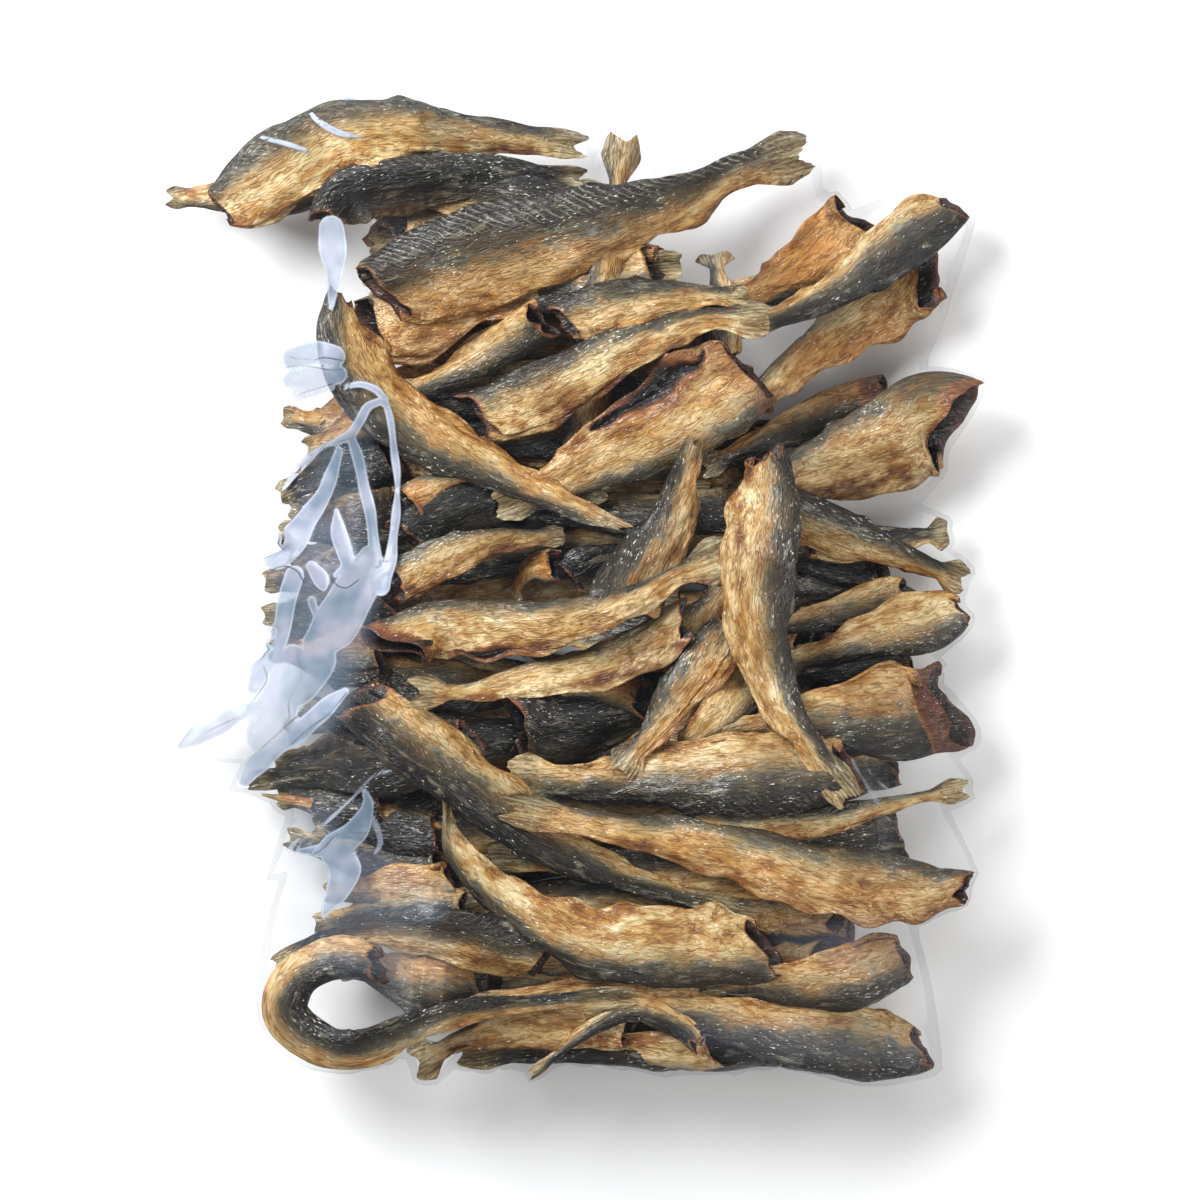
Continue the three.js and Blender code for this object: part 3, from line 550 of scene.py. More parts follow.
def fish_skin(fish, number, row, turn):
    """Where the points of a rolled grid lie on a fish, how they lie on it unbent, and its finish.

    row runs from the inner end of the cavity to the tail, and turn goes round the body, with the
    back at 0 and the belly at half a turn.
    """
    def ripple(seed, *coordinates):
        """An uneven pattern of this fish's own."""
        return waves(coordinates, number + seed)

    inward = unit(1 - row / CAVITY_ROWS)
    outward = unit((row - CAVITY_ROWS) / (1 - CAVITY_ROWS))
    hollow_depth = fish.depth * (0.3 + 0.5 * fish.gape)
    share = np.where(
        inward > 0, hollow_depth / fish.length * np.sin(math.pi / 2 * inward), outward
    )
    back, upward = np.cos(turn), np.sin(turn)
    length_mm = share * fish.length
    half_depth, half_thickness = fish.half_sizes(share)
    body = 1 - smooth_step(share, FIN_ROOT_AT - 0.08, FIN_ROOT_AT + 0.02)
    fin = smooth_step(share, FIN_ROOT_AT - 0.03, FIN_ROOT_AT + 0.06)
    trail = unit((share - FIN_ROOT_AT) / (1 - FIN_ROOT_AT))
    front = np.exp(-share / 0.07)

    # the section: thick at the back, thin at the belly, sunk along the flank, and pinched in at
    # a neck that has dried shut
    fan = np.sin(math.pi / 2 * unit(trail * 1.25)) - trail
    half_depth = half_depth + fish.depth / 2 * max(fish.fin - FIN_ROOT_WIDTH, 0) * fan
    uneven = 0.05 * ripple(0.1, length_mm / 13, back * 1.2)
    uneven = uneven + 0.03 * ripple(0.15, length_mm / 4.5, back * 1.5)
    shut = 1 - min(fish.gape / 0.6, 1)
    depth = half_depth * (1 + body * uneven) * (1 - 0.3 * shut * np.exp(-length_mm / 3.5))
    swell = 1 + BACK_BULGE * back
    thinning = 1 - BELLY_THINNING * smooth_step(-back, 0, 1) * (1 - 0.7 * front)
    trough = (back + 0.12 + 0.2 * ripple(0.2, length_mm / 25)) / 0.3
    hollow = 1 - FLANK_HOLLOW * (0.5 + draw(number, 11)) * body * np.exp(-(trough ** 2))
    gaping = 1 + 0.6 * fish.gape * front
    slack = 1 + 0.1 * body * ripple(0.25, length_mm / 15, back)
    thickness = half_thickness * gaping * swell * thinning * hollow * slack
    thickness = thickness * (1 - 0.45 * shut * np.exp(-length_mm / 6))
    rays = 1 + 0.6 * np.sin(back * 30 + 2 * np.sin(back * 5 + number))
    thickness = thickness * (1 - fin) + fin * FIN_THICKNESS / 2 * rays
    thickness = thickness * np.sqrt(unit((1.02 - trail) / 0.25))
    sideways = depth * back
    rise = thickness * upward

    # lumps, crumpled wrinkles, sharp creases and a wavy belly edge
    size = np.clip(fish.depth / 22, 0.6, 1.3)
    lumps = ripple(0.3, length_mm / 6, 2.2 * back, 2.2 * upward)
    drift = 2.4 * ripple(0.4, length_mm / 14) + 1.2 * ripple(0.45, length_mm / 4)
    ridges = np.sin(9 * turn + drift) + 0.7 * np.sin(16 * turn - 1.3 * drift)
    crinkle = ripple(0.5, length_mm / 2.1, 6 * back, 6 * upward)
    fold = ripple(0.55, length_mm / 10, 1.9 * back, 1.9 * upward)
    crease = peak(fold, 0.13)
    swell_mm = 0.6 * lumps + 0.12 * ridges + 0.13 * crinkle - 0.4 * crease
    swell_mm = swell_mm * body * size
    sideways += swell_mm * back
    rise += swell_mm * upward
    edge = smooth_step(-back, 0.7, 1) * body
    sideways += edge * 0.045 * fish.depth * ripple(0.6, length_mm / 4)
    rise += edge * 0.06 * fish.depth * ripple(0.7, length_mm / 5)

    # the belly slit: a narrow groove towards the neck, or a wide opening on the upper side, its inside
    # painted dark as shade
    opening = body * np.sqrt(unit(1 - share / SLIT_END)) * (0.6 + 0.6 * fish.gape)
    slit_turn = math.pi + 0.5 * (draw(number, 15) - 0.5)
    from_slit = np.abs(turn - slit_turn)
    sideways += opening * 0.45 * half_depth * peak(from_slit, 0.18)
    lip = opening * 0.04 * fish.depth * peak(from_slit - 0.42, 0.16)
    sideways -= lip
    slit_from, slit_to, slit_up, slit_width = OPEN_SLITS.get(number, (0, 1, 0, 1))
    along_slit = unit((share - slit_from) / (slit_to - slit_from))
    lens = np.sin(math.pi * along_slit) ** 0.6 if slit_up else 0 * share
    ragged = 0.07 * ripple(0.65, length_mm / 1.8) + 0.05 * ripple(0.66, length_mm / 5)
    below_slit = turn - (math.pi - slit_up)
    half_open = slit_width * np.maximum(lens, 0.05) * np.where(below_slit > 0, 1.5, 1) + ragged * lens
    from_open = np.abs(below_slit) / half_open
    gap = np.exp(-(from_open ** 4)) * smooth_step(lens, 0.05, 0.3)
    brim = peak(from_open - 1.35, 0.35) * smooth_step(lens, 0.05, 0.3)
    sideways += gap * 0.12 * half_depth
    rise = rise - gap * 1.5 * np.maximum(rise, 0) + brim * 0.12 * half_thickness

    # small dried fins along the back and in front of the tail
    back_turn = np.minimum(turn, 2 * math.pi - turn)
    dorsal_at = 0.42 + 0.1 * draw(number, 12)
    dorsal = unit(1 - np.abs(share - dorsal_at) / 0.05)
    sideways += 0.07 * fish.depth * dorsal * peak(back_turn, 0.1)
    anal = unit(1 - np.abs(share - 0.72) / 0.05)
    sideways -= 0.06 * fish.depth * anal * peak(turn - math.pi, 0.1)

    # the hollow behind the neck: the body's own section, inside its wall, drawn in to a point
    girth = np.maximum(np.hypot(sideways, rise), 1e-6)
    draw_in = np.clip(1 - WALL * unit(inward / 0.12) / girth, 0.2, 1) * (1 - inward ** 3)
    sideways *= draw_in
    rise *= draw_in

    # the oblique cut at the neck, its torn rim, and the frayed end of the fin
    cut = fish.cut * smooth_step(-back, -0.7, 0.9)
    cut = cut + 0.42 * fish.gape * fish.depth * smooth_step(upward, -0.1, 0.8)
    cut = np.minimum(cut, 0.19 * fish.length)
    tear = TEAR_LENGTH * (0.4 + fish.gape) * (
        ripple(0.8, 1.6 * back, 1.6 * upward)
        + 0.6 * np.abs(ripple(0.9, 3.5 * back, 3.5 * upward))
    )
    distance = length_mm + unit(1 - share / CUT_REACH) ** 1.5 * cut + front * tear
    fin_length = (1 - FIN_ROOT_AT) * fish.length
    notch = (0.06 + 0.3 * draw(number, 16)) * peak(back, 0.4)
    corners = 0.45 * unit((np.abs(back) - 0.5) / 0.5) ** 2
    fray = 0.05 * ripple(1.1, back * 6) + 0.02 * np.sin(back * 31 + number)
    distance = distance + trail ** 2 * fin_length * (fray - notch - corners)
    rise += trail * 0.06 * fish.depth * np.sin(back * 4 + number)

    # laid along the body's line, rolled and a little twisted
    twist = fish.turn + math.radians(34) * (draw(number, 14) - 0.5) * share
    lateral = fish.back_side * sideways
    offset = lateral * np.cos(twist) - rise * np.sin(twist)
    lift = lateral * np.sin(twist) + rise * np.cos(twist)
    spot, along = fish.place(distance / fish.length)
    points = np.stack([
        spot[:, 0] - along[:, 1] * offset - MIDDLE[0],
        spot[:, 1] + along[:, 0] * offset - MIDDLE[1],
        np.maximum(fish.height(share) + lift, FISH_FLOOR),
    ], -1)
    straight = np.stack([length_mm + 37 * number, sideways, rise], -1)
    # the open slit is painted nearly black inside as shade, with an orange-brown brim of flesh
    slit_flesh_and_shade = 0.3 * opening * peak(from_slit, 0.22)
    slit_flesh_and_shade = np.maximum(slit_flesh_and_shade, np.maximum(0.3 * brim, gap))
    rim_flesh = 0.36 * np.exp(-length_mm / (0.8 + 2.5 * fish.gape))
    torn, strength = TORN_NECKS.get(number, (0, 0))
    ragged = 0.35 * torn * ripple(1.4, 0.25 * length_mm, 2 * back, 2 * upward)
    rim_flesh = np.maximum(rim_flesh, strength * smooth_step(torn - length_mm + ragged, -4, 7))
    # inside the neck the flesh is painted darker towards the inner end, as shade in the hollow
    flesh_and_shade = np.where(inward > 0, 0.5 + 0.5 * unit(inward * 1.6), np.maximum(slit_flesh_and_shade, rim_flesh))
    finish = np.stack([back * 0.5 + 0.5, flesh_and_shade, np.full_like(row, fish.dark), trail], -1)
    return points, straight * MM, finish


def rolled_grid(name, detail):
    """A flat grid to roll into a fish, with the place of each point along and round it."""
    bpy.ops.object.select_all(action="DESELECT")
    bpy.ops.mesh.primitive_grid_add(x_subdivisions=detail[0], y_subdivisions=detail[1], size=1)
    grid = bpy.context.object
    grid.name = name
    flat = np.empty(len(grid.data.vertices) * 3)
    grid.data.vertices.foreach_get("co", flat)
    flat = flat.reshape(-1, 3)
    row = (flat[:, 0] - flat[:, 0].min()) / np.ptp(flat[:, 0])
    turn = 2 * math.pi * (flat[:, 1] - flat[:, 1].min()) / np.ptp(flat[:, 1])
    return grid, row, turn


def store(mesh, name, kind, key, values):
    """Keeps a value for each point of a mesh, for a material to read."""
    mesh.attributes.new(name, kind, "POINT").data.foreach_set(key, values.ravel())


def turn_outward(merged):
    """Turns the active piece's faces outwards, its seam merged first or not, and smooths it."""
    bpy.ops.object.mode_set(mode="EDIT")
    bpy.ops.mesh.select_all(action="SELECT")
    if merged:
        bpy.ops.mesh.remove_doubles(threshold=MERGE_DISTANCE)
    bpy.ops.mesh.normals_make_consistent(inside=False)
    bpy.ops.object.mode_set(mode="OBJECT")
    bpy.ops.object.shade_smooth()


heap_points = []


def make_fish(name, members, layer):
    """One piece of one or more numbered fish, each a rolled copy of the grid, closed at its seam."""
    grid, row, turn = fish_grids[layer]
    copies = []
    for fish, number in members:
        copy = bpy.data.objects.new(name, grid.data.copy())
        bpy.context.scene.collection.objects.link(copy)
        points, straight, colours = fish_skin(fish, number, row, turn)
        heap_points.append(points)
        copy.data.vertices.foreach_set("co", (points * MM).ravel())
        banded = 1.0 if number in BANDED_FISH else 0.6 * draw(number, 18)
        tint = np.tile([fish.warm, fish.pale, draw(number, 17), banded], len(row))
        store(copy.data, "straight", "FLOAT_VECTOR", "vector", straight)
        store(copy.data, "finish", "FLOAT_COLOR", "color", colours)
        store(copy.data, "tint", "FLOAT_COLOR", "color", tint)
        copies.append(copy)
    bpy.ops.object.select_all(action="DESELECT")
    for copy in copies:
        copy.select_set(True)
    bpy.context.view_layer.objects.active = copies[0]
    if len(copies) > 1:
        bpy.ops.object.join()
    piece = bpy.context.view_layer.objects.active
    piece.name = name
    piece.data.name = name
    turn_outward(True)
    piece.data.materials.clear()
    piece.data.materials.append(fish_finish)
    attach(piece, "root")
    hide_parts("bag_of_fish")


def tone(red, green, blue):
    """A colour as it looks on a screen, 0 to 255, turned to the scale that shading uses."""
    parts = [value / 255 for value in (red, green, blue)]
    return tuple(v / 12.92 if v < 0.04 else ((v + 0.055) / 1.055) ** 2.4 for v in parts)


class Nodes:
    """Adds shader nodes to a material, each by what it works out."""

    def __init__(self, material):
        material.use_nodes = True
        self.tree = material.node_tree
        self.shader = self.tree.nodes["Principled BSDF"]

    def add(self, kind, inputs=(), **settings):
        """A new node with its settings and inputs."""
        node = self.tree.nodes.new("ShaderNode" + kind)
        for key, value in settings.items():
            setattr(node, key, value)
        return self.feed(node, inputs)

    def feed(self, node, inputs):
        """Sets each input of a node, or links it to another node's output."""
        for key, value in dict(inputs).items():
            if isinstance(value, bpy.types.NodeSocket):
                self.tree.links.new(value, node.inputs[key])
            else:
                node.inputs[key].default_value = value
        return node

    def attribute(self, name):
        """The outputs of a mesh attribute."""
        return self.add("Attribute", attribute_name=name).outputs

    def math(self, operation, *values, clamp=False):
        """The output of a Math node."""
        return self.add("Math", enumerate(values), operation=operation, use_clamp=clamp).outputs[0]

    def times(self, first, second):
        """One value times another."""
        return self.math("MULTIPLY", first, second)

    def scaled(self, value, factor, shift):
        """A value times a factor, and shifted."""
        return self.math("MULTIPLY_ADD", value, factor, shift)

    def mix(self, share, first, second, blend="MIX"):
        """The colour between two colours, each an output or as it looks on a screen."""
        colours = [(*tone(*c), 1) if isinstance(c, tuple) else c for c in (first, second)]
        inputs = {0: share, 6: colours[0], 7: colours[1]}
        return self.add("Mix", inputs, data_type="RGBA", blend_type=blend).outputs[2]

    def ramp(self, value, stops):
        """The colour of a value on a ramp of stops, each a place and a screen colour."""
        node = self.add("ValToRGB", {"Fac": value})
        elements = node.color_ramp.elements
        while len(elements) < len(stops):
            elements.new(0.5)
        for element, (place, *colour) in zip(elements, stops):
            element.position = place
            element.color = (*tone(*colour), 1)
        return node.outputs["Color"]

    def span(self, value, low, high, to_low=0.0, to_high=1.0):
        """A value carried smoothly from one range to another."""
        inputs = enumerate((value, low, high, to_low, to_high))
        return self.add("MapRange", inputs, interpolation_type="SMOOTHSTEP").outputs["Result"]

    def noise(self, vector, scale, detail, rough=0.55, distortion=0.0):
        """The value of a Noise texture."""
        inputs = {"Vector": vector, "Scale": scale, "Detail": detail, "Roughness": rough,
                  "Distortion": distortion}
        return self.add("TexNoise", inputs).outputs["Fac"]


def skin_material():
    """Dried fish skin: slate back, silver flank, golden belly, torn rims and rayed fin, with painted shade
    in the cavity, the open slits and the wrinkles.
    """
    material = bpy.data.materials.new("dried_fish_skin")
    nodes = Nodes(material)
    lying = nodes.attribute("straight")["Vector"]
    look = nodes.attribute("finish")
    parts = nodes.add("SeparateColor", {"Color": look["Color"]}).outputs
    back, flesh_and_shade, dark, fin = parts[0], parts[1], parts[2], look["Alpha"]
    tint = nodes.attribute("tint")
    tints = nodes.add("SeparateColor", {"Color": tint["Color"]}).outputs
    warm, pale, odd, banded = tints[0], tints[1], tints[2], tint["Alpha"]
    drawn_out = nodes.add("Mapping", {"Vector": lying, "Scale": (0.26, 1, 1)})
    lengthwise = drawn_out.outputs["Vector"]
    drawn_half = nodes.add("Mapping", {"Vector": lying, "Scale": (0.55, 1, 1)})

    broad = nodes.noise(lying, 42, 1.0)
    blotch = nodes.noise(drawn_half.outputs["Vector"], 170, 2.0, 0.62)
    streak = nodes.noise(lengthwise, 420, 2.0, 0.62, 0.5)
    fine = nodes.noise(lengthwise, 1900, 1.0, 0.6)
    wrinkle = nodes.noise(lengthwise, 640, 1.0, 0.5, 0.8)
    crease = nodes.math("ABSOLUTE", nodes.math("SUBTRACT", wrinkle, 0.5))
    crest = nodes.span(crease, 0.0, 0.1)

    # from the orange belly edge through gold and cream to the slate of the back
    place = nodes.scaled(dark, 0.62, -0.22)
    place = nodes.math("ADD", place, nodes.times(back, 0.86))
    place = nodes.math("ADD", place, nodes.scaled(blotch, 0.56, -0.28))
    place = nodes.math("ADD", place, nodes.scaled(streak, 0.17, -0.085))
    colour = nodes.ramp(place, [
        (0.00, 154, 110, 60), (0.12, 204, 164, 100), (0.30, 228, 198, 141),
        (0.46, 231, 213, 172), (0.56, 174, 166, 140), (0.66, 116, 113, 102), (0.80, 64, 62, 58),
        (1.00, 32, 31, 30),
    ])
    slate_share = nodes.span(place, 0.53, 0.68)
    gold_share = nodes.math("SUBTRACT", 1.0, slate_share)
    warmth = nodes.times(warm, nodes.span(broad, 0.40, 0.58, 0.05, 0.9))
    warmth = nodes.times(warmth, gold_share)
    colour = nodes.mix(warmth, colour, nodes.mix(streak, (176, 116, 56), (218, 160, 84)))
    paleness = nodes.times(pale, nodes.span(blotch, 0.40, 0.6, 0.0, 0.85))
    paleness = nodes.times(paleness, gold_share)
    colour = nodes.mix(paleness, colour, (242, 229, 188))
    silver = nodes.times(slate_share, nodes.span(streak, 0.54, 0.74, 0.0, 0.6))
    colour = nodes.mix(silver, colour, (160, 160, 152))

    # uneven drying: whole fish, broad patches and small ones are lighter or browner
    stain = nodes.scaled(blotch, 0.5, nodes.times(broad, 0.5))
    stain = nodes.math("ADD", stain, nodes.scaled(odd, 0.08, -0.04))
    dried = nodes.ramp(stain, [
        (0.34, 172, 142, 106), (0.47, 220, 204, 176), (0.60, 250, 247, 240),
    ])
    colour = nodes.mix(1.0, colour, dried, "MULTIPLY")

    # the fin: pale olive between darker rays
    ray_place = nodes.scaled(back, 62, nodes.times(streak, 8.0))
    ray_share = nodes.scaled(nodes.math("SINE", ray_place), 0.16, streak)
    ray_colour = nodes.ramp(ray_share, [
        (0.25, 112, 98, 70), (0.5, 154, 140, 106), (0.75, 190, 178, 144),
    ])
    fin_share = nodes.times(nodes.span(fin, 0.0, 0.6), 0.75)
    colour = nodes.mix(fin_share, colour, ray_colour)

    # torn rims and the cavity; the cavity is painted darker towards its inner end and the open slits nearly
    # black, as shade
    flesh_and_shade_place = nodes.scaled(nodes.math("ADD", fine, blotch), 0.34, flesh_and_shade)
    flesh_and_shade_colour = nodes.ramp(flesh_and_shade_place, [
        (0.50, 182, 122, 70), (0.68, 122, 74, 50), (0.92, 66, 44, 36), (1.0, 30, 24, 22),
    ])
    colour = nodes.mix(nodes.span(flesh_and_shade_place, 0.44, 0.66), colour, flesh_and_shade_colour)

    # muscle bands on the back, seen as chevrons, and ribs at the belly
    spread = nodes.add("SeparateXYZ", {"Vector": lying}).outputs
    slope = nodes.times(nodes.math("ABSOLUTE", spread[1]), 1.3)
    band_place = nodes.times(nodes.math("ADD", spread[0], slope), 2100.0)
    band_place = nodes.scaled(blotch, 14.0, band_place)
    band_share = nodes.times(nodes.span(back, 0.62, 0.84), banded)
    bands = nodes.times(nodes.math("SINE", band_place), band_share)
    rib_place = nodes.scaled(spread[0], 1500.0, nodes.times(blotch, 4.0))
    rib_share = nodes.times(nodes.span(back, 0.32, 0.16), banded)
    ribs = nodes.times(nodes.math("SINE", rib_place), rib_share)
    band_light = nodes.times(nodes.span(bands, 0.25, 1.0), nodes.span(blotch, 0.36, 0.6, 0.1, 0.55))
    colour = nodes.mix(band_light, colour, (160, 157, 146))

    # painted shade darkens the low parts of the relief a little, the bottoms of the wrinkles and streaks,
    # and odd pale specks, partly salt and partly painted glints, lie on the skin
    relief = nodes.times(crest, 0.22)
    relief = nodes.scaled(streak, 0.7, relief)
    relief = nodes.scaled(fine, 0.35, relief)
    shade = nodes.ramp(relief, [
        (0.46, 178, 158, 130), (0.64, 228, 220, 206), (0.86, 255, 255, 255),
    ])
    # painted shade in the low parts of the relief
    colour = nodes.mix(1.0, colour, shade, "MULTIPLY")
    # pale specks: partly salt, partly painted glints
    salt_and_glints = nodes.span(nodes.scaled(broad, 0.3, fine), 0.86, 0.89)
    colour = nodes.mix(nodes.times(salt_and_glints, 0.7), colour, (244, 238, 220))

    height = nodes.scaled(bands, 0.14, relief)
    height = nodes.scaled(ribs, 0.25, height)
    bump = nodes.add("Bump", {"Height": height, "Strength": 1.0, "Distance": SKIN_RELIEF})
    nodes.feed(nodes.shader, {
        "Base Color": colour,
        "Roughness": nodes.span(relief, 0.45, 0.9, 0.55, 0.26),
        "Specular IOR Level": 0.5,
        "Normal": bump.outputs["Normal"],
    })
    return material


fish_finish = skin_material()
fish_grids = {layer: rolled_grid(layer + "_grid", detail) for layer, detail in FISH_DETAIL.items()}

quarters = {}
for number, fish in enumerate(packed):
    key = ("low" if number < len(packed) // 2 else "high") + ("_left" if number % 2 == 0 else "_right")
    quarters.setdefault(key, []).append((fish, PACKED_NUMBER + number))
quarters["fill"] = [(fish, FILL_NUMBER + number) for number, fish in enumerate(fill)]
for key, members in quarters.items():
    make_fish("fish_packed_" + key, members, "packed")

gap_groups = {}
for number, fish in enumerate(shown["gaps"]):
    spot, _ = fish.place(np.array([0.5]))
    key = ("top" if spot[0, 1] > 0 else "bottom") + ("_left" if spot[0, 0] < 0 else "_right")
    gap_groups.setdefault(key, []).append((fish, number))
for key, members in gap_groups.items():
    make_fish("fish_gaps_" + key, members, "gaps")

number = len(shown["gaps"])
for layer in ("lower", "upper", "top"):
    for place, fish in enumerate(shown[layer]):
        make_fish(f"fish_{layer}_{place + 1}", [(fish, number)], layer)
        number += 1

for grid, _, _ in fish_grids.values():
    bpy.data.objects.remove(grid)


# ---- The bag: clear film drawn close over the heap, pinched to a seam all round, with loose folds
# ---- at the left, raised a little, whose shine is painted on as pale patches. It is a closed skin
# ---- made from a sphere: a top and a bottom sheet that share the seam, each hung over what it holds
# ---- like a soap film, with wrinkles where it is free.
FILM_SPOKES = 540
TOP_RINGS, BOTTOM_RINGS = 140, 30
# How much closer the spokes are at the left, where the folds are
FILM_CROWDING = 0.45
FILM_CELL = 2.0
FILM_GAP = 0.4
# The film's lowest level, and a height or distance that is past all others
FILM_FLOOR = 0.15
FAR = 99.0
# The wedges that the furthest points are found in, and the steps in the table of angles
WEDGES = 720
ANGLE_STEPS = 1440
HANGING_PASSES = 500
# How far round the level of the seam is evened out, in steps of the table of angles, and how often
LEVEL_WIDTH, LEVEL_PASSES = 90, 2
FOLD_HEIGHT = 0.6
# Where a reflection is painted on the film as a pale patch, over a fold that is raised a little:
# how strongly, and a line of places with half the width there
FILM_SHINE = [
    (0.66, [(-90, 76, 3.4), (-83, 77, 4), (-76, 76, 3.4)]),
    (0.56, [(-90, 69, 3.2), (-82, 69, 3.8), (-75, 70, 3.2)]),
    (0.40, [(-89, 64, 1.8), (-83, 65, 1.8), (-77, 66, 1.2)]),
    (0.76, [(-74, 65, 0.3), (-69, 67, 0.9), (-65, 66.5, 1.1), (-61, 64, 1.3), (-58.5, 58, 1.1),
            (-57, 48, 1.1), (-56, 38, 1.1), (-56, 29, 1.2), (-57, 19, 1.4), (-58, 11, 1.9), (-61, 3, 3.4)]),
    (0.70, [(-59.5, 62, 1.3), (-65, 60, 1.4), (-68, 55, 1.6), (-71, 51, 1.6), (-76, 49, 1.1), (-81, 47, 1),
            (-86, 43, 1.3), (-90, 39, 1.1), (-94, 34, 0.6)]),
    (0.68, [(-71, 51, 1), (-69, 44, 1.9), (-67, 36, 2.1), (-65, 28, 1.8), (-64, 20, 1.8), (-63, 12, 2.1),
            (-62, 5, 3.2)]),
    (0.70, [(-75, 46, 1.3), (-77, 40, 1.9), (-80, 32, 2.7), (-85, 25, 3.5), (-90, 18, 4.8),
            (-95, 13, 4.8), (-99, 11, 1.8)]),
    (0.66, [(-76, 27, 0.8), (-75, 20, 2.7), (-73, 14, 2.7), (-72, 9, 2.1), (-76, 6, 1.1)]),
    (0.60, [(-84, 9, 1.9), (-81, 5, 2.7), (-80, 2, 1.1)]),
    (0.40, [(-84, -2, 1.3), (-82, -8, 1.4), (-81, -14, 1)]),
    (0.42, [(-65, 12, 3.8), (-68, 4, 6.7), (-72, -3, 7.5), (-76, -10, 7.7), (-82, -16, 4.8)]),
    (0.65, [(-90, 6, 3.3), (-92, -1, 3.3), (-94, -10, 3.1), (-97, -18, 3.5), (-101, -24, 3.5),
            (-103, -30, 2.7)]),
    (0.44, [(-90, -21, 4.8), (-93, -30, 6.7), (-97, -40, 7.7), (-101, -47, 4.8)]),
    (0.44, [(-81, -21, 5.8), (-84, -28, 4.8), (-88, -34, 2.4)]),
    (0.75, [(-72, -31, 1.3), (-78, -36, 2.9), (-86, -43, 3.3), (-95, -49, 3.3), (-102, -55, 3.5),
            (-106, -60, 2.5)]),
    (0.55, [(-100, -36, 2.4), (-107, -38, 2.6), (-114, -42, 3.3), (-122, -46, 3.3), (-127, -49, 1.5)]),
    (0.65, [(-66, -63, 0.8), (-65, -68, 2.2), (-69, -76, 3.8), (-76, -82, 5), (-73, -88, 5.5),
            (-75, -95, 3.8), (-78, -100, 2.4), (-80, -104, 0.8)]),
    (0.70, [(-76, -82, 2.4), (-85, -83, 1.6), (-92, -83, 0.6)]),
    (0.60, [(-57, -56, 0.3), (-63, -58, 0.35), (-71, -66, 0.35), (-81, -75, 0.35), (-92, -82, 0.3)]),
    (0.40, [(-63, -72, 0.8), (-61, -79, 0.9), (-63, -83, 0.6)]),
    (0.62, [(-77, 117, 4), (-76.5, 110, 4.6), (-76, 104, 3), (-76.5, 97, 1.7), (-77, 91, 0.8)]),
    (0.95, [(-86, 158, 0.5), (-83, 153, 0.8), (-78, 149, 0.9), (-72, 146.5, 0.8), (-66, 146, 0.4)]),
    (0.80, [(-104, 149, 0.4), (-98, 146, 0.7), (-91, 144, 0.7), (-84, 141.5, 0.4)]),
    (0.80, [(-77, 158, 0.6), (-73, 158, 1.2), (-69, 159, 0.8)]),
    (0.35, [(90, -50, 0.3), (99, -61, 0.4), (115, -72, 0.3)]),
    (0.35, [(89, -53, 0.3), (99, -69, 0.4), (108, -81, 0.3)]),
]
# Where the film is painted with a soft pale sheen, partly reflected light and partly the haze of
# film lying in layers over what is below, and how much
FILM_SHEEN_AND_HAZE = [
    (0.30, [(-84, 20, 9), (-78, 4, 15), (-80, -12, 16), (-86, -30, 14)]),
    (0.16, [(-74, 50, 8), (-76, 30, 12), (-84, 8, 16)]),
    (0.20, [(-84, -72, 8), (-80, -84, 10), (-62, -93, 12), (-46, -99, 7)]),
    (0.14, [(-88, -108, 8), (-70, -112, 10), (-48, -114, 9)]),
    (0.12, [(70, -110, 6), (92, -113, 9), (108, -113, 6)]),
    (0.10, [(40, -140, 5), (78, -143, 8), (108, -147, 6)]),
]
SHEEN_AND_HAZE_EDGE = 5.0
# How far a place is said to be from a crease when it has none, and the furthest that is kept
NO_CREASE = 9.0
KEPT_REACH = 5
# Dark lines painted along sharp creases, as shade in the folds
FILM_CREASES = [
    [(-90, 76), (-83, 75), (-79, 75.5), (-73, 74.5)],
    [(-92, 73), (-88, 73.5), (-82, 72.5), (-77, 71.5), (-73, 72)],
    [(-87, 64.5), (-81, 66), (-77, 67)],
    [(-76, 48.5), (-72, 49.5), (-69, 50.5)],
    [(-81, 45.5), (-77, 46.5), (-73, 46)],
    [(-99, 6), (-97, 8), (-93, 9), (-89, 7.5), (-87, 4.5)],
    [(-77, 4.5), (-75, 2.5), (-72, 2), (-69, 4)],
    [(-88, -22), (-87, -26), (-91, -34), (-91, -39)],
    [(-100, -24), (-99, -28), (-103, -34), (-106, -38)],
    [(-104, -53), (-96, -46), (-88, -39), (-83, -35)],
    [(-123, -48), (-119, -45), (-112, -41.5), (-107, -39.5)],
    [(-90, -48), (-83.5, -42.5), (-77, -38), (-72, -32)],
    [(-84, -84.5), (-79, -81), (-76, -77.5), (-69, -76.5), (-64, -76.5)],
]

heap_points = np.vstack(heap_points) + np.array([*MIDDLE, 0])
film_columns = math.ceil(2 * HALF_WIDTH / FILM_CELL)
film_rows = math.ceil(2 * HALF_HEIGHT / FILM_CELL)


def film_cell(x, y):
    """Row and column, with fractions, on the grid that the sheets hang on."""
    return (y + HALF_HEIGHT) / FILM_CELL - 0.5, (x + HALF_WIDTH) / FILM_CELL - 0.5


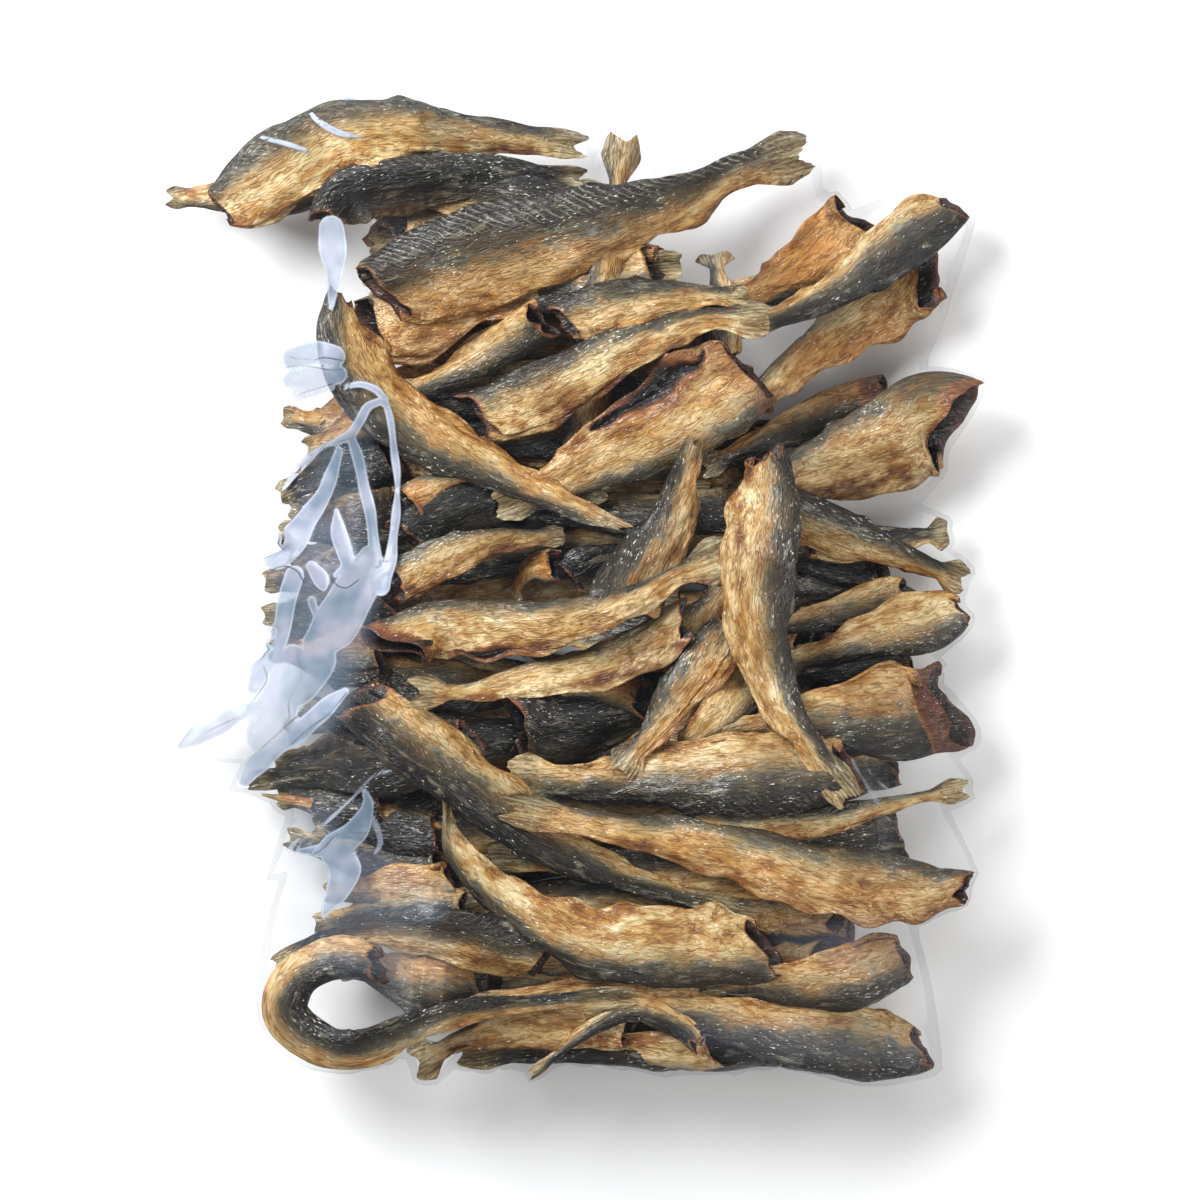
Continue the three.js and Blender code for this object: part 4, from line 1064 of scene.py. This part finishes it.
def sheet_reach(angles):
    """How far the film reaches at some angles, round every fish and out to its own tips, and the
    level of what holds it out there."""
    tips = np.vstack([heap_points, [(*tip, TIP_LEVEL) for tip in FILM_TIPS]])
    lengths = np.hypot(tips[:, 0], tips[:, 1])
    order = np.argsort(lengths)
    bins = np.floor((np.arctan2(tips[:, 1], tips[:, 0]) / (2 * math.pi) % 1) * WEDGES).astype(int) % WEDGES
    longest, levels = np.zeros(WEDGES), np.zeros(WEDGES)
    longest[bins[order]] = lengths[order]
    levels[bins[order]] = tips[order, 2]
    middles = (np.arange(WEDGES) + 0.5) * math.pi / (WEDGES / 2)
    apart = np.abs(half_turn(middles[None] - angles[:, None]))
    apart = np.maximum(apart - math.pi / WEDGES, 0)
    extents = longest[None] * (1 - FILM_SLOPE * apart)
    return extents.max(1) + FILM_MARGIN, levels[extents.argmax(1)]


def hang(obstacle, inside, rim, upper):
    """A sheet's height over the grid: as taut as it can be past what it has to clear."""
    pick = np.maximum if upper else np.minimum
    sheet = np.where(inside, pick(obstacle, rim), rim)
    for _ in range(HANGING_PASSES):
        mean = sum(np.roll(sheet, step, axis) for axis in (0, 1) for step in (1, -1)) / 4
        sheet = np.where(inside, pick(mean, obstacle), rim)
    return sheet


def sample(sheet, x, y):
    """A sheet's height at some places, between the middles of its cells."""
    row, column = film_cell(x, y)
    row, column = np.clip(row, 0, film_rows - 1.001), np.clip(column, 0, film_columns - 1.001)
    r, c = row.astype(int), column.astype(int)
    v, u = row - r, column - c
    near = sheet[r, c] * (1 - u) + sheet[r, c + 1] * u
    far = sheet[r + 1, c] * (1 - u) + sheet[r + 1, c + 1] * u
    return near * (1 - v) + far * v


def inside_line(x, y, line):
    """How far inside a line of given half widths some places lie, less than 0 outside it."""
    best = np.full(len(x), -FAR)
    for start, end in zip(line[:-1], line[1:]):
        across, up = end[0] - start[0], end[1] - start[1]
        part = unit(((x - start[0]) * across + (y - start[1]) * up) / (across ** 2 + up ** 2))
        away = np.hypot(x - start[0] - part * across, y - start[1] - part * up)
        best = np.maximum(best, start[2] + part * (end[2] - start[2]) - away)
    return best


def beside_line(x, y, line):
    """How far to the left of a line some places lie, and how near to it, 2 on it and less away."""
    beside, close = np.full(len(x), NO_CREASE), np.full(len(x), -NO_CREASE)
    for start, end in zip(line[:-1], line[1:]):
        across, up = end[0] - start[0], end[1] - start[1]
        size = math.hypot(across, up)
        part = ((x - start[0]) * across + (y - start[1]) * up) / size ** 2
        left = ((y - start[1]) * across - (x - start[0]) * up) / size
        away = np.hypot(left, (part - unit(part)) * size)
        beside = np.where(2 - away > close, left, beside)
        close = np.maximum(close, 2 - away)
    return beside, close


bpy.ops.object.select_all(action="DESELECT")
bpy.ops.mesh.primitive_uv_sphere_add(segments=FILM_SPOKES, ring_count=TOP_RINGS + BOTTOM_RINGS, radius=1)
film = bpy.context.object
film.name = "clear_film"
ball = np.empty(len(film.data.vertices) * 3)
film.data.vertices.foreach_get("co", ball)
ball = ball.reshape(-1, 3)
ring = np.arccos(np.clip(ball[:, 2], -1, 1)) / math.pi * (TOP_RINGS + BOTTOM_RINGS)
on_top = ring < TOP_RINGS + 0.5
share = np.where(ring <= TOP_RINGS, ring / TOP_RINGS, (TOP_RINGS + BOTTOM_RINGS - ring) / BOTTOM_RINGS)
spoke = np.arctan2(ball[:, 1], ball[:, 0])
angle = spoke + FILM_CROWDING * np.sin(spoke)
table_angles = np.linspace(-math.pi, math.pi, ANGLE_STEPS + 1)
table_reach, table_levels = sheet_reach(table_angles)
for _ in range(LEVEL_PASSES):
    wrapped = np.pad(table_levels[:-1], LEVEL_WIDTH // 2, mode="wrap")
    evened = np.convolve(wrapped, np.ones(LEVEL_WIDTH + 1) / (LEVEL_WIDTH + 1), "valid")
    table_levels = np.append(evened, evened[0])
turned = half_turn(angle)
radius = share * np.interp(turned, table_angles, table_reach)
seam_level = np.interp(turned, table_angles, table_levels)
x, y = radius * np.cos(angle), radius * np.sin(angle)

across, up = cell_middles(film_rows, film_columns, FILM_CELL)
grid_angles = np.arctan2(up, across)
inside = np.hypot(across, up) < np.interp(grid_angles, table_angles, table_reach) - FILM_CELL
rim = np.interp(grid_angles, table_angles, table_levels)
row, column = film_cell(heap_points[:, 0], heap_points[:, 1])
cells = (np.clip(np.round(row).astype(int), 0, film_rows - 1),
         np.clip(np.round(column).astype(int), 0, film_columns - 1))
highest = np.full((film_rows, film_columns), -FAR)
lowest = np.full((film_rows, film_columns), FAR)
np.maximum.at(highest, cells, heap_points[:, 2] + FILM_GAP)
np.minimum.at(lowest, cells, heap_points[:, 2] - FILM_GAP)
top_sheet = hang(highest, inside, rim, True)
bottom_sheet = np.maximum(hang(lowest, inside, rim, False), FILM_FLOOR)

# the pale patches of painted reflection: their shapes, and how strongly each is painted
shine = np.full(len(x), -FAR)
glare_strength, weights = np.zeros(len(x)), np.full(len(x), 1e-9)
for strength, line in FILM_SHINE:
    curve, _ = smooth_line(np.array(line, float), 5)
    place = inside_line(x, y, curve)
    wavy = place + 0.3 * waves([x / 3, y / 3], strength + line[0][0], 4)
    weight = np.exp(1.5 * np.clip(wavy, -6, 4))
    glare_strength, weights = glare_strength + strength * weight, weights + weight
    shine = np.maximum(shine, wavy)
glare_strength = glare_strength / weights
# the soft painted sheen, partly reflection and partly haze of layered film
sheen_and_haze = np.zeros(len(x))
for strength, line in FILM_SHEEN_AND_HAZE:
    wavy = inside_line(x, y, line) + 2.5 * waves([x / 11, y / 11], strength + line[0][0], 4)
    sheen_and_haze = np.maximum(sheen_and_haze, strength * smooth_step(wavy, -SHEEN_AND_HAZE_EDGE, SHEEN_AND_HAZE_EDGE))
creases = {}
for side in (0, 1):
    crease, near = np.full(len(x), NO_CREASE), np.full(len(x), -NO_CREASE)
    for line in FILM_CREASES[side::2]:
        curve, _ = smooth_line(np.array(line, float), 5)
        beside, close = beside_line(x, y, curve)
        crease = np.where(close > near, beside, crease)
        near = np.maximum(near, close)
    creases[f"crease_{side}"] = crease
    creases[f"near_{side}"] = np.where(on_top, near, -NO_CREASE)
shine = np.where(on_top, shine, -FAR)
sheen_and_haze = np.where(on_top, sheen_and_haze, 0)

top_height = sample(top_sheet, x, y)
free = smooth_step(top_height - sample(highest, x, y), 0.5, 5) * (1 - smooth_step(share, 0.9, 1))
folds = waves([x / 4, y / 9], 7) + 0.6 * waves([x / 2.2, y / 3], 8)
top_height = top_height + free * np.clip(0.5 * folds, -0.3, 1)
top_height = top_height + FOLD_HEIGHT * smooth_step(shine, -1, 1.5) * (1 - smooth_step(share, 0.94, 1))
blend = smooth_step(share, 0.985, 1)
height = np.where(on_top, top_height, sample(bottom_sheet, x, y)) * (1 - blend) + seam_level * blend
film_points = np.stack([x - MIDDLE[0], y - MIDDLE[1], height], -1) * MM
film.data.vertices.foreach_set("co", film_points.ravel())
for name, values in {"shine": shine, "glare_strength": glare_strength, "sheen_and_haze": sheen_and_haze, **creases}.items():
    store(film.data, name, "FLOAT", "value", np.clip(values, -KEPT_REACH, KEPT_REACH))
film.data.uv_layers.remove(film.data.uv_layers[0])
turn_outward(False)

film_finish = bpy.data.materials.new("clear_film")
nodes = Nodes(film_finish)
position = nodes.add("TexCoord").outputs["Object"]
shine_at = nodes.attribute("shine")["Fac"]
glare_strength_at = nodes.attribute("glare_strength")["Fac"]
sheen_and_haze_at = nodes.attribute("sheen_and_haze")["Fac"]
cloud = nodes.noise(position, 80, 1.0)
shining = nodes.span(shine_at, -0.35, 0.35)
density = nodes.math("MULTIPLY", glare_strength_at, nodes.span(cloud, 0.3, 0.65, 0.92, 1.3), clamp=True)
# where the film is painted pale as a reflection
painted_glare = nodes.times(shining, density)
# the dark lines along the creases are painted shade
crease_shade_lines = []
for side in (0, 1):
    crease_at = nodes.attribute(f"crease_{side}")["Fac"]
    near_at = nodes.attribute(f"near_{side}")["Fac"]
    thin = nodes.span(nodes.math("ABSOLUTE", crease_at), 0.4, 0.1)
    crease_shade_lines.append(nodes.times(thin, nodes.span(near_at, 0.4, 1.6)))
line = nodes.times(nodes.math("MAXIMUM", *crease_shade_lines), nodes.span(cloud, 0.36, 0.56, 0.25, 1.0))
# the film's colour where it covers is painted reflection: bluish grey, lighter at the patch edges as painted
# highlight, and dark along the creases as painted shade
film_colour = nodes.mix(nodes.span(cloud, 0.36, 0.62), (116, 134, 152), (146, 150, 166))
# a brighter rim round each patch of painted reflection is a painted highlight
lit_edge = nodes.math("SUBTRACT", shining, nodes.span(shine_at, 0.2, 0.9))
film_colour = nodes.mix(nodes.times(lit_edge, 0.7), film_colour, (178, 184, 194))
# painted shade along the creases
film_colour = nodes.mix(nodes.times(line, 0.9), film_colour, (66, 82, 94))
nodes.feed(nodes.shader, {
    "Base Color": film_colour,
    "Roughness": nodes.span(painted_glare, 0.0, 0.6, 0.14, 0.34),
    "Specular IOR Level": 0.4,
})
gleam = nodes.add("Fresnel", {"IOR": 1.45}).outputs[0]
seen_through = nodes.times(nodes.math("SUBTRACT", 1.0, painted_glare), nodes.math("SUBTRACT", 1.0, sheen_and_haze_at))
cover = nodes.math("SUBTRACT", 1.0, seen_through)
cover = nodes.math("MAXIMUM", cover, nodes.times(line, 0.6))
glint = nodes.math("MINIMUM", nodes.times(gleam, 0.36), 0.16)
cover = nodes.math("MAXIMUM", cover, glint)
clear = nodes.add("BsdfTransparent", {"Color": (1, 1, 1, 1)})
blended = nodes.add("MixShader", {
    0: cover, 1: clear.outputs["BSDF"], 2: nodes.shader.outputs["BSDF"],
})
nodes.feed(nodes.tree.nodes["Material Output"], {"Surface": blended.outputs["Shader"]})
film.data.materials.clear()
film.data.materials.append(film_finish)
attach(film, "root")
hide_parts("bag_of_fish")
